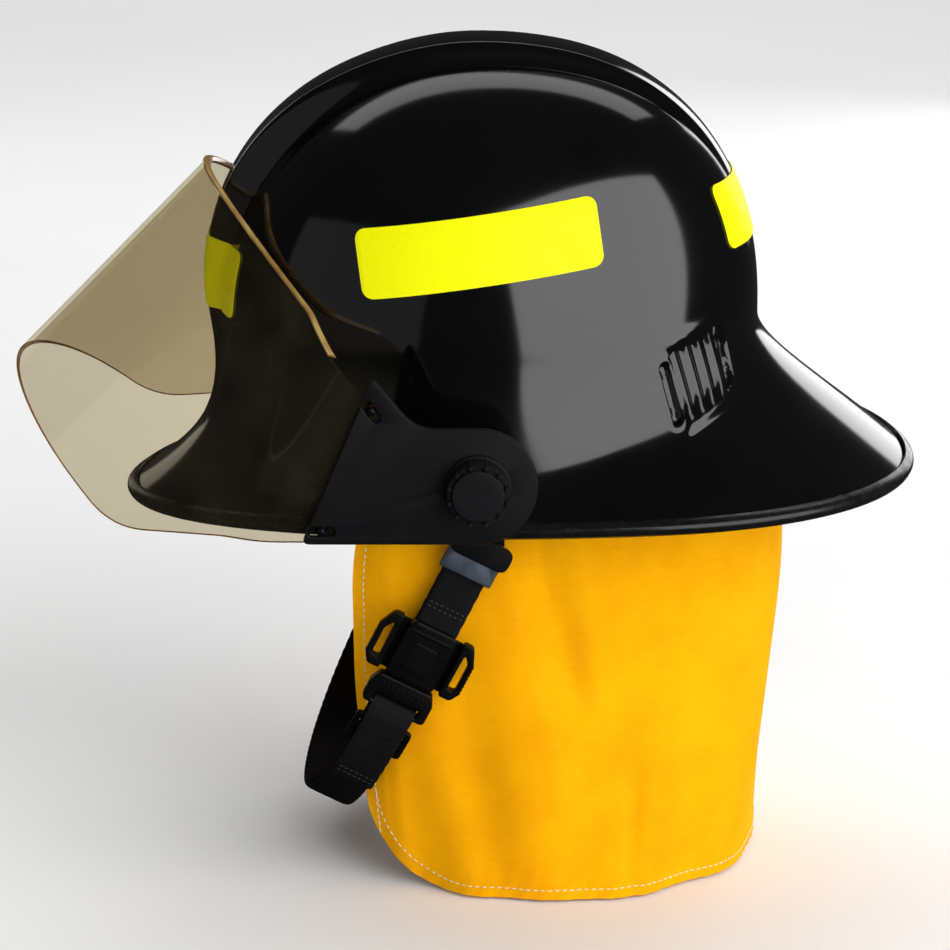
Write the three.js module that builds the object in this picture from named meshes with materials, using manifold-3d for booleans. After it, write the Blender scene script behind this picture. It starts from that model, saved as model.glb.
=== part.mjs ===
// Firefighter helmet with a flip-up face shield, neck curtain, chin strap and ratchet suspension.
// Millimetres. +Z up, -Y is the wearer's front, +X the wearer's left.
// The origin is the middle of the head opening, at the level of the brim.
import * as THREE from 'three';
import { mergeVertices } from 'three/addons/utils/BufferGeometryUtils.js';
import Module from 'manifold-3d';

const wasm = await Module();
wasm.setup();

// ---------------------------------------------------------------- driving dimensions
const GAP = 0.3; // clearance between touching pieces
const SHELL_WALL = 3;

// Dome: a superellipsoid about (0, centreY, centreZ).
const DOME = { centreY: 4, centreZ: 80, halfWidth: 103, front: 119, rear: 123.5, height: 115, planPower: 2.15 };

// Brim edge: two half ellipses in plan, level but for a slight nose-down tilt and raised sides.
const BRIM = { halfWidth: 132.6, widestY: 74, frontY: -157.8, rearY: 198.6, frontZ: -2, rearZ: 12, sideRise: 7 };

// Comb: the raised band over the crown; heights by angle from the rear, in degrees.
const COMB = { topHalfWidth: 13, footHalfWidth: 23 };
const COMB_HEIGHTS = [
  [28, 0], [45, 2], [66, 5.4], [90, 7], [113, 7.6], [130, 10.3], [148, 11.4], [165, 9], [180, 5], [194, 0],
];

const STICKER = { length: 104, height: 31, corner: 5, thickness: 0.6 };
const LINER = { outerInset: 4.8, innerInset: 22, bottomZ: 52 };

// Face shield: hinged at PIVOT; APEX is the top of its front line, which runs along SLOPE.
const PIVOT = { y: 1.3, z: 33.6, boltRadius: 3 };
const SHIELD = { apexY: -121, apexZ: 145.2, slope: 45.5, length: 122, wall: 2, sideX: 131.6, lowZ: 8.2 };
const PLATE = { innerX: 133, thickness: 3.5, radius: 25.3 };
const KNOB = { radius: 11.4, nubs: 12, nubRadius: 2.3, length: 13 };

const BAND = { halfWidth: 77, frontY: -94, rearY: 98, lowZ: 4, highZ: 34, wall: 1.8 };
const CURTAIN = { topZ: 48, hemZ: -178, wall: 1.6, cornerRadius: 38 };
const STRAP = { width: 20, wall: 1.8, lean: 26.8, topZ: -4, depth: 160, halfSpan: 101 };
// Places down the strap: the buckle's top, middle and lower end, the slider and the start of the turn.
const BUCKLE = { top: 40, middle: 54, bottom: 85 };
const SLIDER_DOWN = 97;
const TURN_DOWN = 112;

const RAD = Math.PI / 180;
const SEGMENTS = 54;

const helmet = new THREE.Group();

// ---------------------------------------------------------------- helpers
function finish(color, roughness, metalness = 0) {
  return () => new THREE.MeshStandardMaterial({ color, roughness, metalness });
}

const glossBlack = finish(0x08090b, 0.08);
const satinBlack = finish(0x15161a, 0.45);
const mattBlack = finish(0x1b1c1f, 0.7);
const yellowTape = finish(0xe8f000, 0.4);
const foam = finish(0x2b2c2e, 0.9);
const amber = finish(0xb9a070, 0.08);
const amberEdge = finish(0x8a5a22, 0.2);
const steel = finish(0xb4b6b8, 0.3, 1);
const cloth = finish(0xffa80c, 0.9);
const webbing = finish(0x0d0d0f, 0.85);

function add(name, geometry, material) {
  const mesh = new THREE.Mesh(geometry, material());
  mesh.name = name;
  helmet.add(mesh);
}

function smooth(low, high, value) {
  return THREE.MathUtils.smoothstep(value, low, high);
}

// Piecewise line through [at, value] pairs.
function along(pairs, at) {
  if (at <= pairs[0][0]) return pairs[0][1];
  for (let i = 1; i < pairs.length; i++) {
    if (at <= pairs[i][0]) {
      return THREE.MathUtils.mapLinear(at, pairs[i - 1][0], pairs[i][0], pairs[i - 1][1], pairs[i][1]);
    }
  }
  return pairs.at(-1)[1];
}

// Closed surface through a stack of rings with equal point counts. The ends are fans about their
// middles, or the last ring joins the first.
function loft(rings, joined = false) {
  const points = rings.flat();
  const size = rings[0].length;
  const faces = [];
  const count = joined ? rings.length : rings.length - 1;
  for (let i = 0; i < count; i++) {
    const next = (i + 1) % rings.length;
    for (let j = 0; j < size; j++) {
      const k = (j + 1) % size;
      faces.push(i * size + j, i * size + k, next * size + k);
      faces.push(i * size + j, next * size + k, next * size + j);
    }
  }
  if (!joined) {
    for (const [start, flip] of [[0, true], [(rings.length - 1) * size, false]]) {
      const middle = new THREE.Vector3();
      for (let j = 0; j < size; j++) middle.add(points[start + j]);
      points.push(middle.divideScalar(size));
      for (let j = 0; j < size; j++) {
        const a = start + j;
        const b = start + (j + 1) % size;
        faces.push(points.length - 1, flip ? b : a, flip ? a : b);
      }
    }
  }
  return facingOut(points, faces);
}

function facingOut(points, faces) {
  let volume = 0;
  for (let i = 0; i < faces.length; i += 3) {
    const [a, b, c] = [points[faces[i]], points[faces[i + 1]], points[faces[i + 2]]];
    volume += a.dot(b.clone().cross(c));
  }
  if (volume < 0) {
    for (let i = 0; i < faces.length; i += 3) {
      [faces[i + 1], faces[i + 2]] = [faces[i + 2], faces[i + 1]];
    }
  }
  const geometry = new THREE.BufferGeometry().setFromPoints(points);
  geometry.setIndex(faces);
  return geometry;
}

// A sheet between two grids of points: outer[i][j] and inner[i][j].
function sheet(outer, inner) {
  return loft(outer.map((row, i) => [...row, ...inner[i].toReversed()]));
}

function solid(geometry) {
  const bare = geometry.clone();
  bare.deleteAttribute('normal');
  bare.deleteAttribute('uv');
  const merged = mergeVertices(bare, 1e-4);
  return new wasm.Manifold(new wasm.Mesh({
    numProp: 3,
    vertProperties: merged.attributes.position.array,
    triVerts: new Uint32Array(merged.index.array),
  }));
}

function geometryOf(manifold) {
  const mesh = manifold.getMesh();
  const geometry = new THREE.BufferGeometry();
  geometry.setAttribute('position', new THREE.Float32BufferAttribute(mesh.vertProperties, 3));
  geometry.setIndex(new THREE.BufferAttribute(mesh.triVerts, 1));
  return geometry;
}

// A shape drawn in the Y-Z plane, extruded along X from x0 to x1.
function sideSlab(shape, x0, x1, bevel = 0, curveSegments = 10) {
  const geometry = new THREE.ExtrudeGeometry(shape, {
    depth: Math.abs(x1 - x0) - 2 * bevel,
    bevelEnabled: bevel > 0,
    bevelThickness: bevel,
    bevelSize: bevel,
    bevelOffset: -bevel,
    bevelSegments: 1,
    curveSegments,
  });
  geometry.applyMatrix4(new THREE.Matrix4().makeBasis(
    new THREE.Vector3(0, 1, 0), new THREE.Vector3(0, 0, 1), new THREE.Vector3(1, 0, 0)));
  return geometry.translate(Math.min(x0, x1) + bevel, 0, 0);
}

// A turned piece about an axis along X through (y, z); profile is [radius, x] pairs.
function turnedX(profile, y, z, segments = 20) {
  const points = profile.map(([radius, x]) => new THREE.Vector2(radius, x));
  const geometry = new THREE.LatheGeometry(points, segments);
  return geometry.rotateZ(-Math.PI / 2).translate(0, y, z);
}

function roundedRectangle(width, height, radius) {
  const [x, y] = [width / 2, height / 2];
  const shape = new THREE.Shape();
  shape.moveTo(-x + radius, -y);
  shape.lineTo(x - radius, -y);
  shape.absarc(x - radius, -y + radius, radius, -Math.PI / 2, 0);
  shape.lineTo(x, y - radius);
  shape.absarc(x - radius, y - radius, radius, 0, Math.PI / 2);
  shape.lineTo(-x + radius, y);
  shape.absarc(-x + radius, y - radius, radius, Math.PI / 2, Math.PI);
  shape.lineTo(-x, -y + radius);
  shape.absarc(-x + radius, -y + radius, radius, Math.PI, Math.PI * 1.5);
  return shape;
}

// ---------------------------------------------------------------- shell surface
// Azimuth 0 points to the rear and 90 degrees to the wearer's left.
function domeRadius(azimuth, inset = 0) {
  const across = Math.abs(Math.sin(azimuth)) / (DOME.halfWidth - inset);
  const reach = (Math.cos(azimuth) > 0 ? DOME.rear : DOME.front) - inset;
  const lengthways = Math.abs(Math.cos(azimuth)) / reach;
  return (across ** DOME.planPower + lengthways ** DOME.planPower) ** (-1 / DOME.planPower);
}

function domePower(azimuth) {
  return 2.2 + 0.2 * Math.cos(azimuth);
}

function brimPoint(azimuth) {
  const [s, c] = [Math.sin(azimuth), Math.cos(azimuth)];
  const back = DOME.centreY - BRIM.widestY;
  let radius = 0;
  for (const half of [BRIM.rearY - BRIM.widestY, BRIM.widestY - BRIM.frontY]) {
    const a = (s / BRIM.halfWidth) ** 2 + (c / half) ** 2;
    const b = back * c / half ** 2;
    radius = (-b + Math.sqrt(b * b - a * ((back / half) ** 2 - 1))) / a;
    if (DOME.centreY + radius * c > BRIM.widestY) break;
  }
  const y = DOME.centreY + radius * c;
  const level = THREE.MathUtils.mapLinear(y, BRIM.frontY, BRIM.rearY, BRIM.frontZ, BRIM.rearZ);
  return { radius, z: level + BRIM.sideRise * (radius * s / BRIM.halfWidth) ** 2 };
}

// Blends a front, side and rear value round the shell.
function around(azimuth, front, side, rear) {
  const c = Math.cos(azimuth);
  return side + (c > 0 ? rear - side : front - side) * c * c;
}

// Height 0 is the crown, DOME_SHARE the dome's widest line, 1 the brim edge.
const DOME_SHARE = 0.55;

function basePoint(azimuth, height) {
  const wall = domeRadius(azimuth);
  let radius;
  let z;
  if (height <= DOME_SHARE) {
    const angle = (1 - height / DOME_SHARE) * Math.PI / 2;
    const power = 2 / domePower(azimuth);
    radius = wall * Math.max(0, Math.cos(angle)) ** power;
    z = DOME.centreZ + DOME.height * Math.sin(angle) ** power;
  } else {
    const t = (height - DOME_SHARE) / (1 - DOME_SHARE);
    const edge = brimPoint(azimuth);
    const drop = DOME.centreZ - edge.z;
    const z1 = DOME.centreZ - around(azimuth, 0.61, 0.54, 0.235) * drop;
    const r2 = wall + around(azimuth, 0.28, 0.23, 0.345) * (edge.radius - wall);
    const z2 = edge.z + around(azimuth, 0.244, 0.2, 0.56) * drop;
    const [b0, b1, b2, b3] = [(1 - t) ** 3, 3 * t * (1 - t) ** 2, 3 * t * t * (1 - t), t ** 3];
    radius = (b0 + b1) * wall + b2 * r2 + b3 * edge.radius;
    z = b0 * DOME.centreZ + b1 * z1 + b2 * z2 + b3 * edge.z;
  }
  return new THREE.Vector3(radius * Math.sin(azimuth), DOME.centreY + radius * Math.cos(azimuth), z);
}

function combHeight(point) {
  let angle = Math.atan2(point.z - DOME.centreZ, point.y - DOME.centreY) / RAD;
  if (angle < -90) angle += 360;
  const side = 1 - smooth(COMB.topHalfWidth, COMB.footHalfWidth, Math.abs(point.x));
  return along(COMB_HEIGHTS, angle) * side;
}

function outward(azimuth, height) {
  const step = 1e-3;
  const low = Math.max(height, 2 * step);
  const down = basePoint(azimuth, Math.min(low + step, 1)).sub(basePoint(azimuth, low - step));
  const round = basePoint(azimuth + step, low).sub(basePoint(azimuth - step, low));
  return round.cross(down).normalize();
}

// A point of the shell, offset outwards from its outer face.
function shellPoint(azimuth, height, offset = 0) {
  const point = basePoint(azimuth, height);
  return point.addScaledVector(outward(azimuth, height), combHeight(point) + offset);
}

function shellRing(height, offset = 0, segments = SEGMENTS) {
  return Array.from({ length: segments }, (_, j) => shellPoint(j / segments * 2 * Math.PI, height, offset));
}

function heights(count, from = 0.03) {
  return Array.from({ length: count }, (_, i) => from + (1 - from) * i / (count - 1));
}

// The outer face closed by a flat floor, for cutting what stands on the shell.
function filledShell(offset) {
  return solid(loft(heights(20).map((height) => shellRing(height, offset))));
}

// A point of the dome at a given level above its widest line, with offset from the face.
function domeAt(azimuth, z, offset) {
  const power = domePower(azimuth);
  const rise = ((z - DOME.centreZ) / DOME.height) ** power;
  const angle = Math.asin(rise ** 0.5);
  return shellPoint(azimuth, (1 - angle / (Math.PI / 2)) * DOME_SHARE, offset);
}

// ---------------------------------------------------------------- shell, edge trim and reflectors
function outerShell() {
  const outside = heights(18).map((height) => shellRing(height));
  const inside = heights(10).reverse().map((height) => shellRing(height, -SHELL_WALL));
  let shell = solid(loft([...outside, ...inside]));
  for (const side of [-1, 1]) {
    const hole = turnedX([[0, 80], [3.4, 80], [3.4, 140], [0, 140]], PIVOT.y, PIVOT.z);
    shell = shell.subtract(solid(side > 0 ? hole : hole.rotateZ(Math.PI).translate(0, 2 * PIVOT.y, 0)));
  }
  return geometryOf(shell);
}

// A channel that grips the brim edge; its section is given outwards from the edge and off the face.
function edgeTrim() {
  const [near, far] = [GAP, -SHELL_WALL - GAP];
  const section = [
    [-4.5, near + 0.4], [near, near], [near, far], [-4.5, far - 0.4], [-4.5, far - 1.5],
    [0.7, far - 1.3], [1.8, far], [1.8, near], [0.7, near + 1.3], [-4.5, near + 1.5],
  ];
  const rings = Array.from({ length: SEGMENTS }, (_, j) => {
    const azimuth = j / SEGMENTS * 2 * Math.PI;
    const edge = basePoint(azimuth, 1);
    const off = outward(azimuth, 0.999);
    const out = edge.clone().sub(basePoint(azimuth, 0.985)).normalize();
    return section.map(([a, b]) => edge.clone().addScaledVector(out, a).addScaledVector(off, b));
  });
  return loft(rings, true);
}

// A rounded rectangle of tape. place(across, up, offset) puts a point of it on the shell.
function tape(place, thickness = STICKER.thickness) {
  const { length, height, corner } = STICKER;
  const ends = [0, 0.5, 1].map((share) => length / 2 - corner * (1 - Math.sin(share * Math.PI / 2)));
  const stations = [...ends.map((x) => -x).reverse(), -32, -16, 0, 16, 32, ...ends];
  const face = (offset) => stations.map((across) => {
    const over = Math.max(0, Math.abs(across) - (length / 2 - corner));
    const half = height / 2 - corner + Math.sqrt(corner * corner - over * over);
    return [-1, -0.33, 0.33, 1].map((up) => place(across, up * Math.min(half, height / 2), offset));
  });
  return sheet(face(2 * GAP + thickness), face(2 * GAP));
}

// Along the side of the dome, rising to the rear.
function sidePlace(side) {
  const centre = { y: 1.8, z: 126 };
  const tilt = 8.3 * RAD;
  return (across, up, offset) => {
    const rise = up * 0.93;
    const y = centre.y + across * Math.cos(tilt) - rise * Math.sin(tilt);
    const z = centre.z + across * Math.sin(tilt) + rise * Math.cos(tilt);
    let [low, high] = [30 * RAD, 150 * RAD];
    for (let i = 0; i < 40; i++) {
      const middle = (low + high) / 2;
      if (domeAt(middle, z, 0).y > y) low = middle;
      else high = middle;
    }
    return domeAt(side * low, z, offset);
  };
}

// Round the front or rear of the dome, level.
function endPlace(azimuth, centreZ, rise, radius) {
  return (across, up, offset) => domeAt(azimuth + across / radius, centreZ + up * rise, offset);
}

add('outer_shell', outerShell(), glossBlack);
add('edge_trim', edgeTrim(), glossBlack);
add('reflector_left', tape(sidePlace(1)), yellowTape);
add('reflector_right', tape(sidePlace(-1)), yellowTape);
const frontTape = solid(tape(endPlace(Math.PI, 98, 0.95, 121), 1.6)).subtract(filledShell(GAP));
add('reflector_front', geometryOf(frontTape), yellowTape);
add('reflector_rear', tape(endPlace(0, 130, 0.88, 121)), yellowTape);

// ---------------------------------------------------------------- impact liner and crown straps
function linerPoint(azimuth, angle, inset) {
  const power = 2 / domePower(azimuth);
  const radius = domeRadius(azimuth, inset) * Math.max(0, Math.cos(angle)) ** power;
  const z = DOME.centreZ + (DOME.height - inset) * Math.sin(angle) ** power;
  return new THREE.Vector3(radius * Math.sin(azimuth), DOME.centreY + radius * Math.cos(azimuth), z);
}

function impactLiner() {
  const segments = 36;
  const ring = (angle, inset, z) => Array.from({ length: segments }, (_, j) => {
    const point = linerPoint(j / segments * 2 * Math.PI, angle, inset);
    return z === undefined ? point : point.setZ(z);
  });
  const angles = [86, 70, 54, 38, 22, 7].map((degrees) => degrees * RAD);
  const outside = angles.map((angle) => ring(angle, LINER.outerInset));
  const inside = angles.map((angle) => ring(angle, LINER.innerInset)).reverse();
  const foot = [ring(0, LINER.outerInset, LINER.bottomZ), ring(0, LINER.innerInset, LINER.bottomZ)];
  return loft([...outside, ...foot, ...inside]);
}

// Flat webbing under the liner: half an ellipse over the head, with straight ends inside the band.
function crownStrap(reach, rise, across) {
  const drop = 34;
  const steps = 16;
  const stations = Array.from({ length: steps + 1 }, (_, i) => {
    const angle = i / steps * Math.PI;
    const normal = new THREE.Vector2(Math.cos(angle) * rise, Math.sin(angle) * reach).normalize();
    return [reach * Math.cos(angle), rise * Math.sin(angle), normal];
  });
  stations.unshift([reach, -drop, new THREE.Vector2(1, 0)]);
  stations.push([-reach, -drop, new THREE.Vector2(-1, 0)]);
  const corners = [[-10, 0.6], [10, 0.6], [10, -0.6], [-10, -0.6]];
  return loft(stations.map(([run, level, normal]) => corners.map(([wide, thick]) => {
    const out = run + normal.x * thick;
    const z = DOME.centreZ + level + normal.y * thick;
    return across ? new THREE.Vector3(out, wide, z) : new THREE.Vector3(wide, DOME.centreY + out, z);
  })));
}

function box(x0, x1, y0, y1, z0, z1, bevel = 1.2) {
  const shape = roundedRectangle(x1 - x0, y1 - y0, bevel);
  const geometry = new THREE.ExtrudeGeometry(shape, { depth: z1 - z0, bevelEnabled: false, curveSegments: 3 });
  return geometry.translate((x0 + x1) / 2, (y0 + y1) / 2, z0);
}

add('impact_liner', impactLiner(), foam);
add('crown_strap_long', crownStrap(93, 88, false), webbing);
add('crown_strap_cross', crownStrap(75, 85, true), webbing);

const KEY_TOP = LINER.bottomZ - GAP;
add('suspension_key_left', box(BAND.halfWidth + 1.3, 85, -11, 11, 22, KEY_TOP), satinBlack);
add('suspension_key_right', box(-85, -BAND.halfWidth - 1.3, -11, 11, 22, KEY_TOP), satinBlack);
add('suspension_key_front', box(-11, 11, -101, BAND.frontY - 1.3, 22, KEY_TOP), satinBlack);
add('suspension_key_rear', box(-11, 11, 101.4, 107, 41, KEY_TOP), satinBlack);

// ---------------------------------------------------------------- headband with ratchet
// A band round half the head: a half ellipse of plan depth `depth` from y, and straight arms.
function band(halfWidth, y, depth, armY, wall, lowZ, highZ, spread = 90) {
  const stations = [];
  for (let i = 0; i <= 16; i++) {
    const angle = (-spread + 2 * spread * i / 16) * RAD;
    const [s, c] = [Math.sin(angle), Math.cos(angle)];
    const normal = new THREE.Vector2(s * Math.abs(depth), c * halfWidth * Math.sign(depth)).normalize();
    stations.push([halfWidth * s, y + depth * c, normal]);
  }
  if (armY !== null) {
    stations.unshift([-halfWidth, armY, new THREE.Vector2(-1, 0)]);
    stations.push([halfWidth, armY, new THREE.Vector2(1, 0)]);
  }
  return loft(stations.map(([x, at, normal]) => [[0, lowZ], [0, highZ], [-wall, highZ], [-wall, lowZ]]
    .map(([off, z]) => new THREE.Vector3(x + normal.x * off, at + normal.y * off, z))));
}

const BAND_MIDDLE_Y = -6;
add('headband_front', band(BAND.halfWidth, BAND_MIDDLE_Y, BAND.frontY - BAND_MIDDLE_Y, 34, BAND.wall,
  BAND.lowZ, BAND.highZ), satinBlack);
add('brow_pad', band(BAND.halfWidth - 2.2, BAND_MIDDLE_Y, BAND.frontY + 2.2 - BAND_MIDDLE_Y, null, 5,
  BAND.lowZ - 3, BAND.highZ + 2, 62), foam);
add('headband_rear', band(BAND.halfWidth - 3, 44, BAND.rearY - 44, 8, BAND.wall, BAND.lowZ + 3,
  BAND.highZ - 3), satinBlack);
add('nape_pad', band(BAND.halfWidth - 5.4, 44, BAND.rearY - 2.4 - 44, null, 5, BAND.lowZ, BAND.highZ, 40), foam);

const HOUSING = { halfWidth: 34, y0: BAND.rearY + 0.4, y1: 113, z0: 7, z1: 33 };
const RATCHET = { z: 20, radius: 17, lobes: 10, shaft: 4 };

function ratchetHousing() {
  const shape = roundedRectangle(2 * HOUSING.halfWidth, HOUSING.z1 - HOUSING.z0, 9);
  shape.holes.push(new THREE.Path().absarc(0, RATCHET.z - (HOUSING.z0 + HOUSING.z1) / 2, RATCHET.shaft + GAP, 0,
    2 * Math.PI, true));
  const geometry = new THREE.ExtrudeGeometry(shape, {
    depth: HOUSING.y1 - HOUSING.y0, bevelEnabled: false, curveSegments: 6,
  });
  return geometry.rotateX(Math.PI / 2).translate(0, HOUSING.y1, (HOUSING.z0 + HOUSING.z1) / 2);
}

// A knob outline with shallow finger lobes.
function lobedOutline(radius, depth, lobes, perLobe = 4) {
  const count = lobes * perLobe;
  return new THREE.Shape(Array.from({ length: count }, (_, i) => {
    const angle = i / count * 2 * Math.PI;
    const r = radius + depth * Math.cos(angle * lobes);
    return new THREE.Vector2(r * Math.cos(angle), r * Math.sin(angle));
  }));
}

function ratchetKnob() {
  const grip = new THREE.ExtrudeGeometry(lobedOutline(RATCHET.radius, 1.2, RATCHET.lobes), {
    depth: 9, bevelThickness: 1.5, bevelSize: 1.5, bevelOffset: -1.5, bevelSegments: 1,
  });
  grip.rotateX(-Math.PI / 2).translate(0, HOUSING.y1 + GAP + 1.5, RATCHET.z);
  const shaft = new THREE.CylinderGeometry(RATCHET.shaft, RATCHET.shaft, 12, 16)
    .translate(0, HOUSING.y1 - 4, RATCHET.z);
  return geometryOf(solid(grip).add(solid(shaft)));
}

add('ratchet_housing', ratchetHousing(), satinBlack);
add('ratchet_knob', ratchetKnob(), mattBlack);

// ---------------------------------------------------------------- neck curtain
// Plan of the cloth at a level: u runs from the left front edge (1) round the nape to the right (-1).
// The front edges tuck in towards the throat.
function curtainPlan(u, halfWidth, frontY, rearY, tuck) {
  const bend = 0.66;
  const startY = 34;
  const side = Math.sign(u);
  const share = Math.abs(u);
  if (share > bend) {
    const y = THREE.MathUtils.mapLinear(share, bend, 1, startY, frontY);
    return new THREE.Vector2(side * (halfWidth - tuck * ((share - bend) / (1 - bend)) ** 2), y);
  }
  const angle = share / bend * Math.PI / 2;
  const power = 2 / 2.3;
  return new THREE.Vector2(side * halfWidth * Math.sin(angle) ** power,
    startY + (rearY - startY) * Math.max(0, Math.cos(angle)) ** power);
}

const CURTAIN_REAR = [[-178, 127], [-144, 130], [-104, 134], [-45, 140], [-21, 141], [20, 138], [48, 131]];
const CURTAIN_SIDE = [[-178, 90], [-60, 94], [0, 93], [48, 91]];
const CURTAIN_FRONT = [[-178, -44], [-135, -49], [-76, -53.5], [-20, -54], [48, -44]];
const CURTAIN_TUCK = [[-178, 24], [-120, 24], [-60, 11], [0, 0]];

function curtainPoint(u, z, offset) {
  const plan = curtainPlan(u, along(CURTAIN_SIDE, z) + offset, along(CURTAIN_FRONT, z),
    along(CURTAIN_REAR, z) + offset, along(CURTAIN_TUCK, z));
  return new THREE.Vector3(plan.x, plan.y, z);
}

// The hem rises in a quarter round at each front corner.
function hemZ(u) {
  const halfLength = 250;
  const radius = CURTAIN.cornerRadius;
  const over = Math.max(0, Math.abs(u) * halfLength - (halfLength - radius));
  return CURTAIN.hemZ + radius - Math.sqrt(radius * radius - over * over);
}

function curtain(topZ, bottomZ, rows, columns, outside, inside) {
  const us = Array.from({ length: columns + 1 }, (_, j) => {
    const even = j / columns * 2 - 1;
    return Math.sign(even) * (1 - (1 - Math.abs(even)) ** 1.25);
  });
  const face = (offset) => us.map((u) => Array.from({ length: rows + 1 }, (_, i) => {
    const low = typeof bottomZ === 'function' ? bottomZ(u) : bottomZ;
    return curtainPoint(u, topZ + (low - topZ) * i / rows, offset);
  }));
  return sheet(face(outside), face(inside));
}

add('neck_curtain', curtain(CURTAIN.topZ, hemZ, 8, 32, 0, -CURTAIN.wall), cloth);
add('curtain_band', curtain(CURTAIN.topZ, CURTAIN.topZ - 20, 1, 32, -CURTAIN.wall - 2 * GAP,
  -CURTAIN.wall - 2 * GAP - 1.5), webbing);

// ---------------------------------------------------------------- shield pivots, one set each side
const mirror = new THREE.Matrix4().makeScale(-1, 1, 1);

// The same piece on the wearer's right, as its own geometry facing out.
function mirrored(geometry) {
  const copy = geometry.clone().applyMatrix4(mirror);
  const flat = copy.index ? copy.toNonIndexed() : copy;
  const position = flat.attributes.position;
  const [a, b] = [new THREE.Vector3(), new THREE.Vector3()];
  for (let i = 0; i < position.count; i += 3) {
    a.fromBufferAttribute(position, i + 1);
    b.fromBufferAttribute(position, i + 2);
    position.setXYZ(i + 1, b.x, b.y, b.z);
    position.setXYZ(i + 2, a.x, a.y, a.z);
  }
  return flat;
}

function addPair(name, geometry, material) {
  add(name + '_left', geometry, material);
  add(name + '_right', mirrored(geometry), material);
}

const WASHER = { x0: PLATE.innerX - 1.2, x1: PLATE.innerX - GAP };
const MOUNT_FACE_X = WASHER.x0 - GAP;
const PLATE_OUT_X = PLATE.innerX + PLATE.thickness;
const BOSS_X = PLATE_OUT_X + 1.6;
const HANGER = { x0: 96, x1: 99, halfWidth: 11.5, lowZ: -10, pegRadius: 2.8, pegX: 104.4 };

function pivotMount() {
  const body = turnedX([[0, 98], [21, 98], [21, 112], [16, 122], [16, MOUNT_FACE_X], [0, MOUNT_FACE_X]],
    PIVOT.y, PIVOT.z, 28);
  const bore = turnedX([[0, 90], [3.4, 90], [3.4, 140], [0, 140]], PIVOT.y, PIVOT.z, 20);
  return geometryOf(solid(body).subtract(filledShell(GAP)).subtract(solid(bore)));
}

function pivotBolt() {
  const headX = HANGER.x0 - GAP;
  const tipX = BOSS_X + 5;
  return turnedX([[0, headX - 2.6], [5.4, headX - 2.6], [6, headX - 2], [6, headX], [PIVOT.boltRadius, headX],
    [PIVOT.boltRadius, tipX], [0, tipX]], PIVOT.y, PIVOT.z, 18);
}

function ringX(inner, outer, x0, x1, segments = 20) {
  return turnedX([[inner, x0], [outer, x0], [outer, x1], [inner, x1], [inner, x0]], PIVOT.y, PIVOT.z, segments);
}

function clampKnob() {
  const x0 = BOSS_X + GAP;
  const cap = turnedX([[0, x0], [KNOB.radius, x0], [KNOB.radius, x0 + KNOB.length - 2.5],
    [KNOB.radius - 2, x0 + KNOB.length - 0.6], [KNOB.radius - 4, x0 + KNOB.length], [0, x0 + KNOB.length]],
    PIVOT.y, PIVOT.z, 20);
  let knob = solid(cap);
  for (let i = 0; i < KNOB.nubs; i++) {
    const angle = i / KNOB.nubs * 2 * Math.PI;
    const nub = turnedX([[0, x0], [KNOB.nubRadius, x0], [KNOB.nubRadius, x0 + 6.5], [0, x0 + 7.5]],
      PIVOT.y + KNOB.radius * Math.cos(angle), PIVOT.z + KNOB.radius * Math.sin(angle), 6);
    knob = knob.add(solid(nub));
  }
  const bore = turnedX([[0, x0 - 1], [3.35, x0 - 1], [3.35, BOSS_X + 5.4], [0, BOSS_X + 5.4]],
    PIVOT.y, PIVOT.z, 12);
  return geometryOf(knob.subtract(solid(bore)));
}

// ---------------------------------------------------------------- face shield
const SLOPE = new THREE.Vector2(-Math.cos(SHIELD.slope * RAD), -Math.sin(SHIELD.slope * RAD));
const BACK = new THREE.Vector2(-SLOPE.y, SLOPE.x);

// How far back the sheet has curved where it is x from the middle, at its top and bottom edges.
function topDepth(x) {
  return Math.hypot(60, 1.27 * x) - 60;
}

function bottomDepth(x) {
  return x * x / 225 + 17 * (x / 110) ** 8;
}

// Points of a depth curve at equal steps of length: [x, depth].
function evenly(depthAt, count) {
  const fine = [];
  for (let x = 0; x <= SHIELD.sideX; x += 0.5) fine.push([x, depthAt(x)]);
  for (let depth = depthAt(SHIELD.sideX) + 1; depth < 175; depth += 1) fine.push([SHIELD.sideX, depth]);
  const lengths = [0];
  for (let i = 1; i < fine.length; i++) {
    lengths.push(lengths[i - 1] + Math.hypot(fine[i][0] - fine[i - 1][0], fine[i][1] - fine[i - 1][1]));
  }
  const total = lengths.at(-1);
  return Array.from({ length: count + 1 }, (_, k) => {
    const target = total * k / count;
    const reached = lengths.findIndex((length) => length >= target - 1e-6);
    const i = Math.max(1, reached);
    const t = (target - lengths[i - 1]) / (lengths[i] - lengths[i - 1]);
    return [0, 1].map((axis) => THREE.MathUtils.lerp(fine[i - 1][axis], fine[i][axis], t));
  });
}

// The sheet lies flat against each side plate behind the plate's slanted front edge.
const PLATE_FRONT = { y: -46, z: 77 };

const SHIELD_STEPS = 21;
const TOP_CURVE = evenly(topDepth, SHIELD_STEPS);
const BOTTOM_CURVE = evenly(bottomDepth, SHIELD_STEPS);

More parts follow.
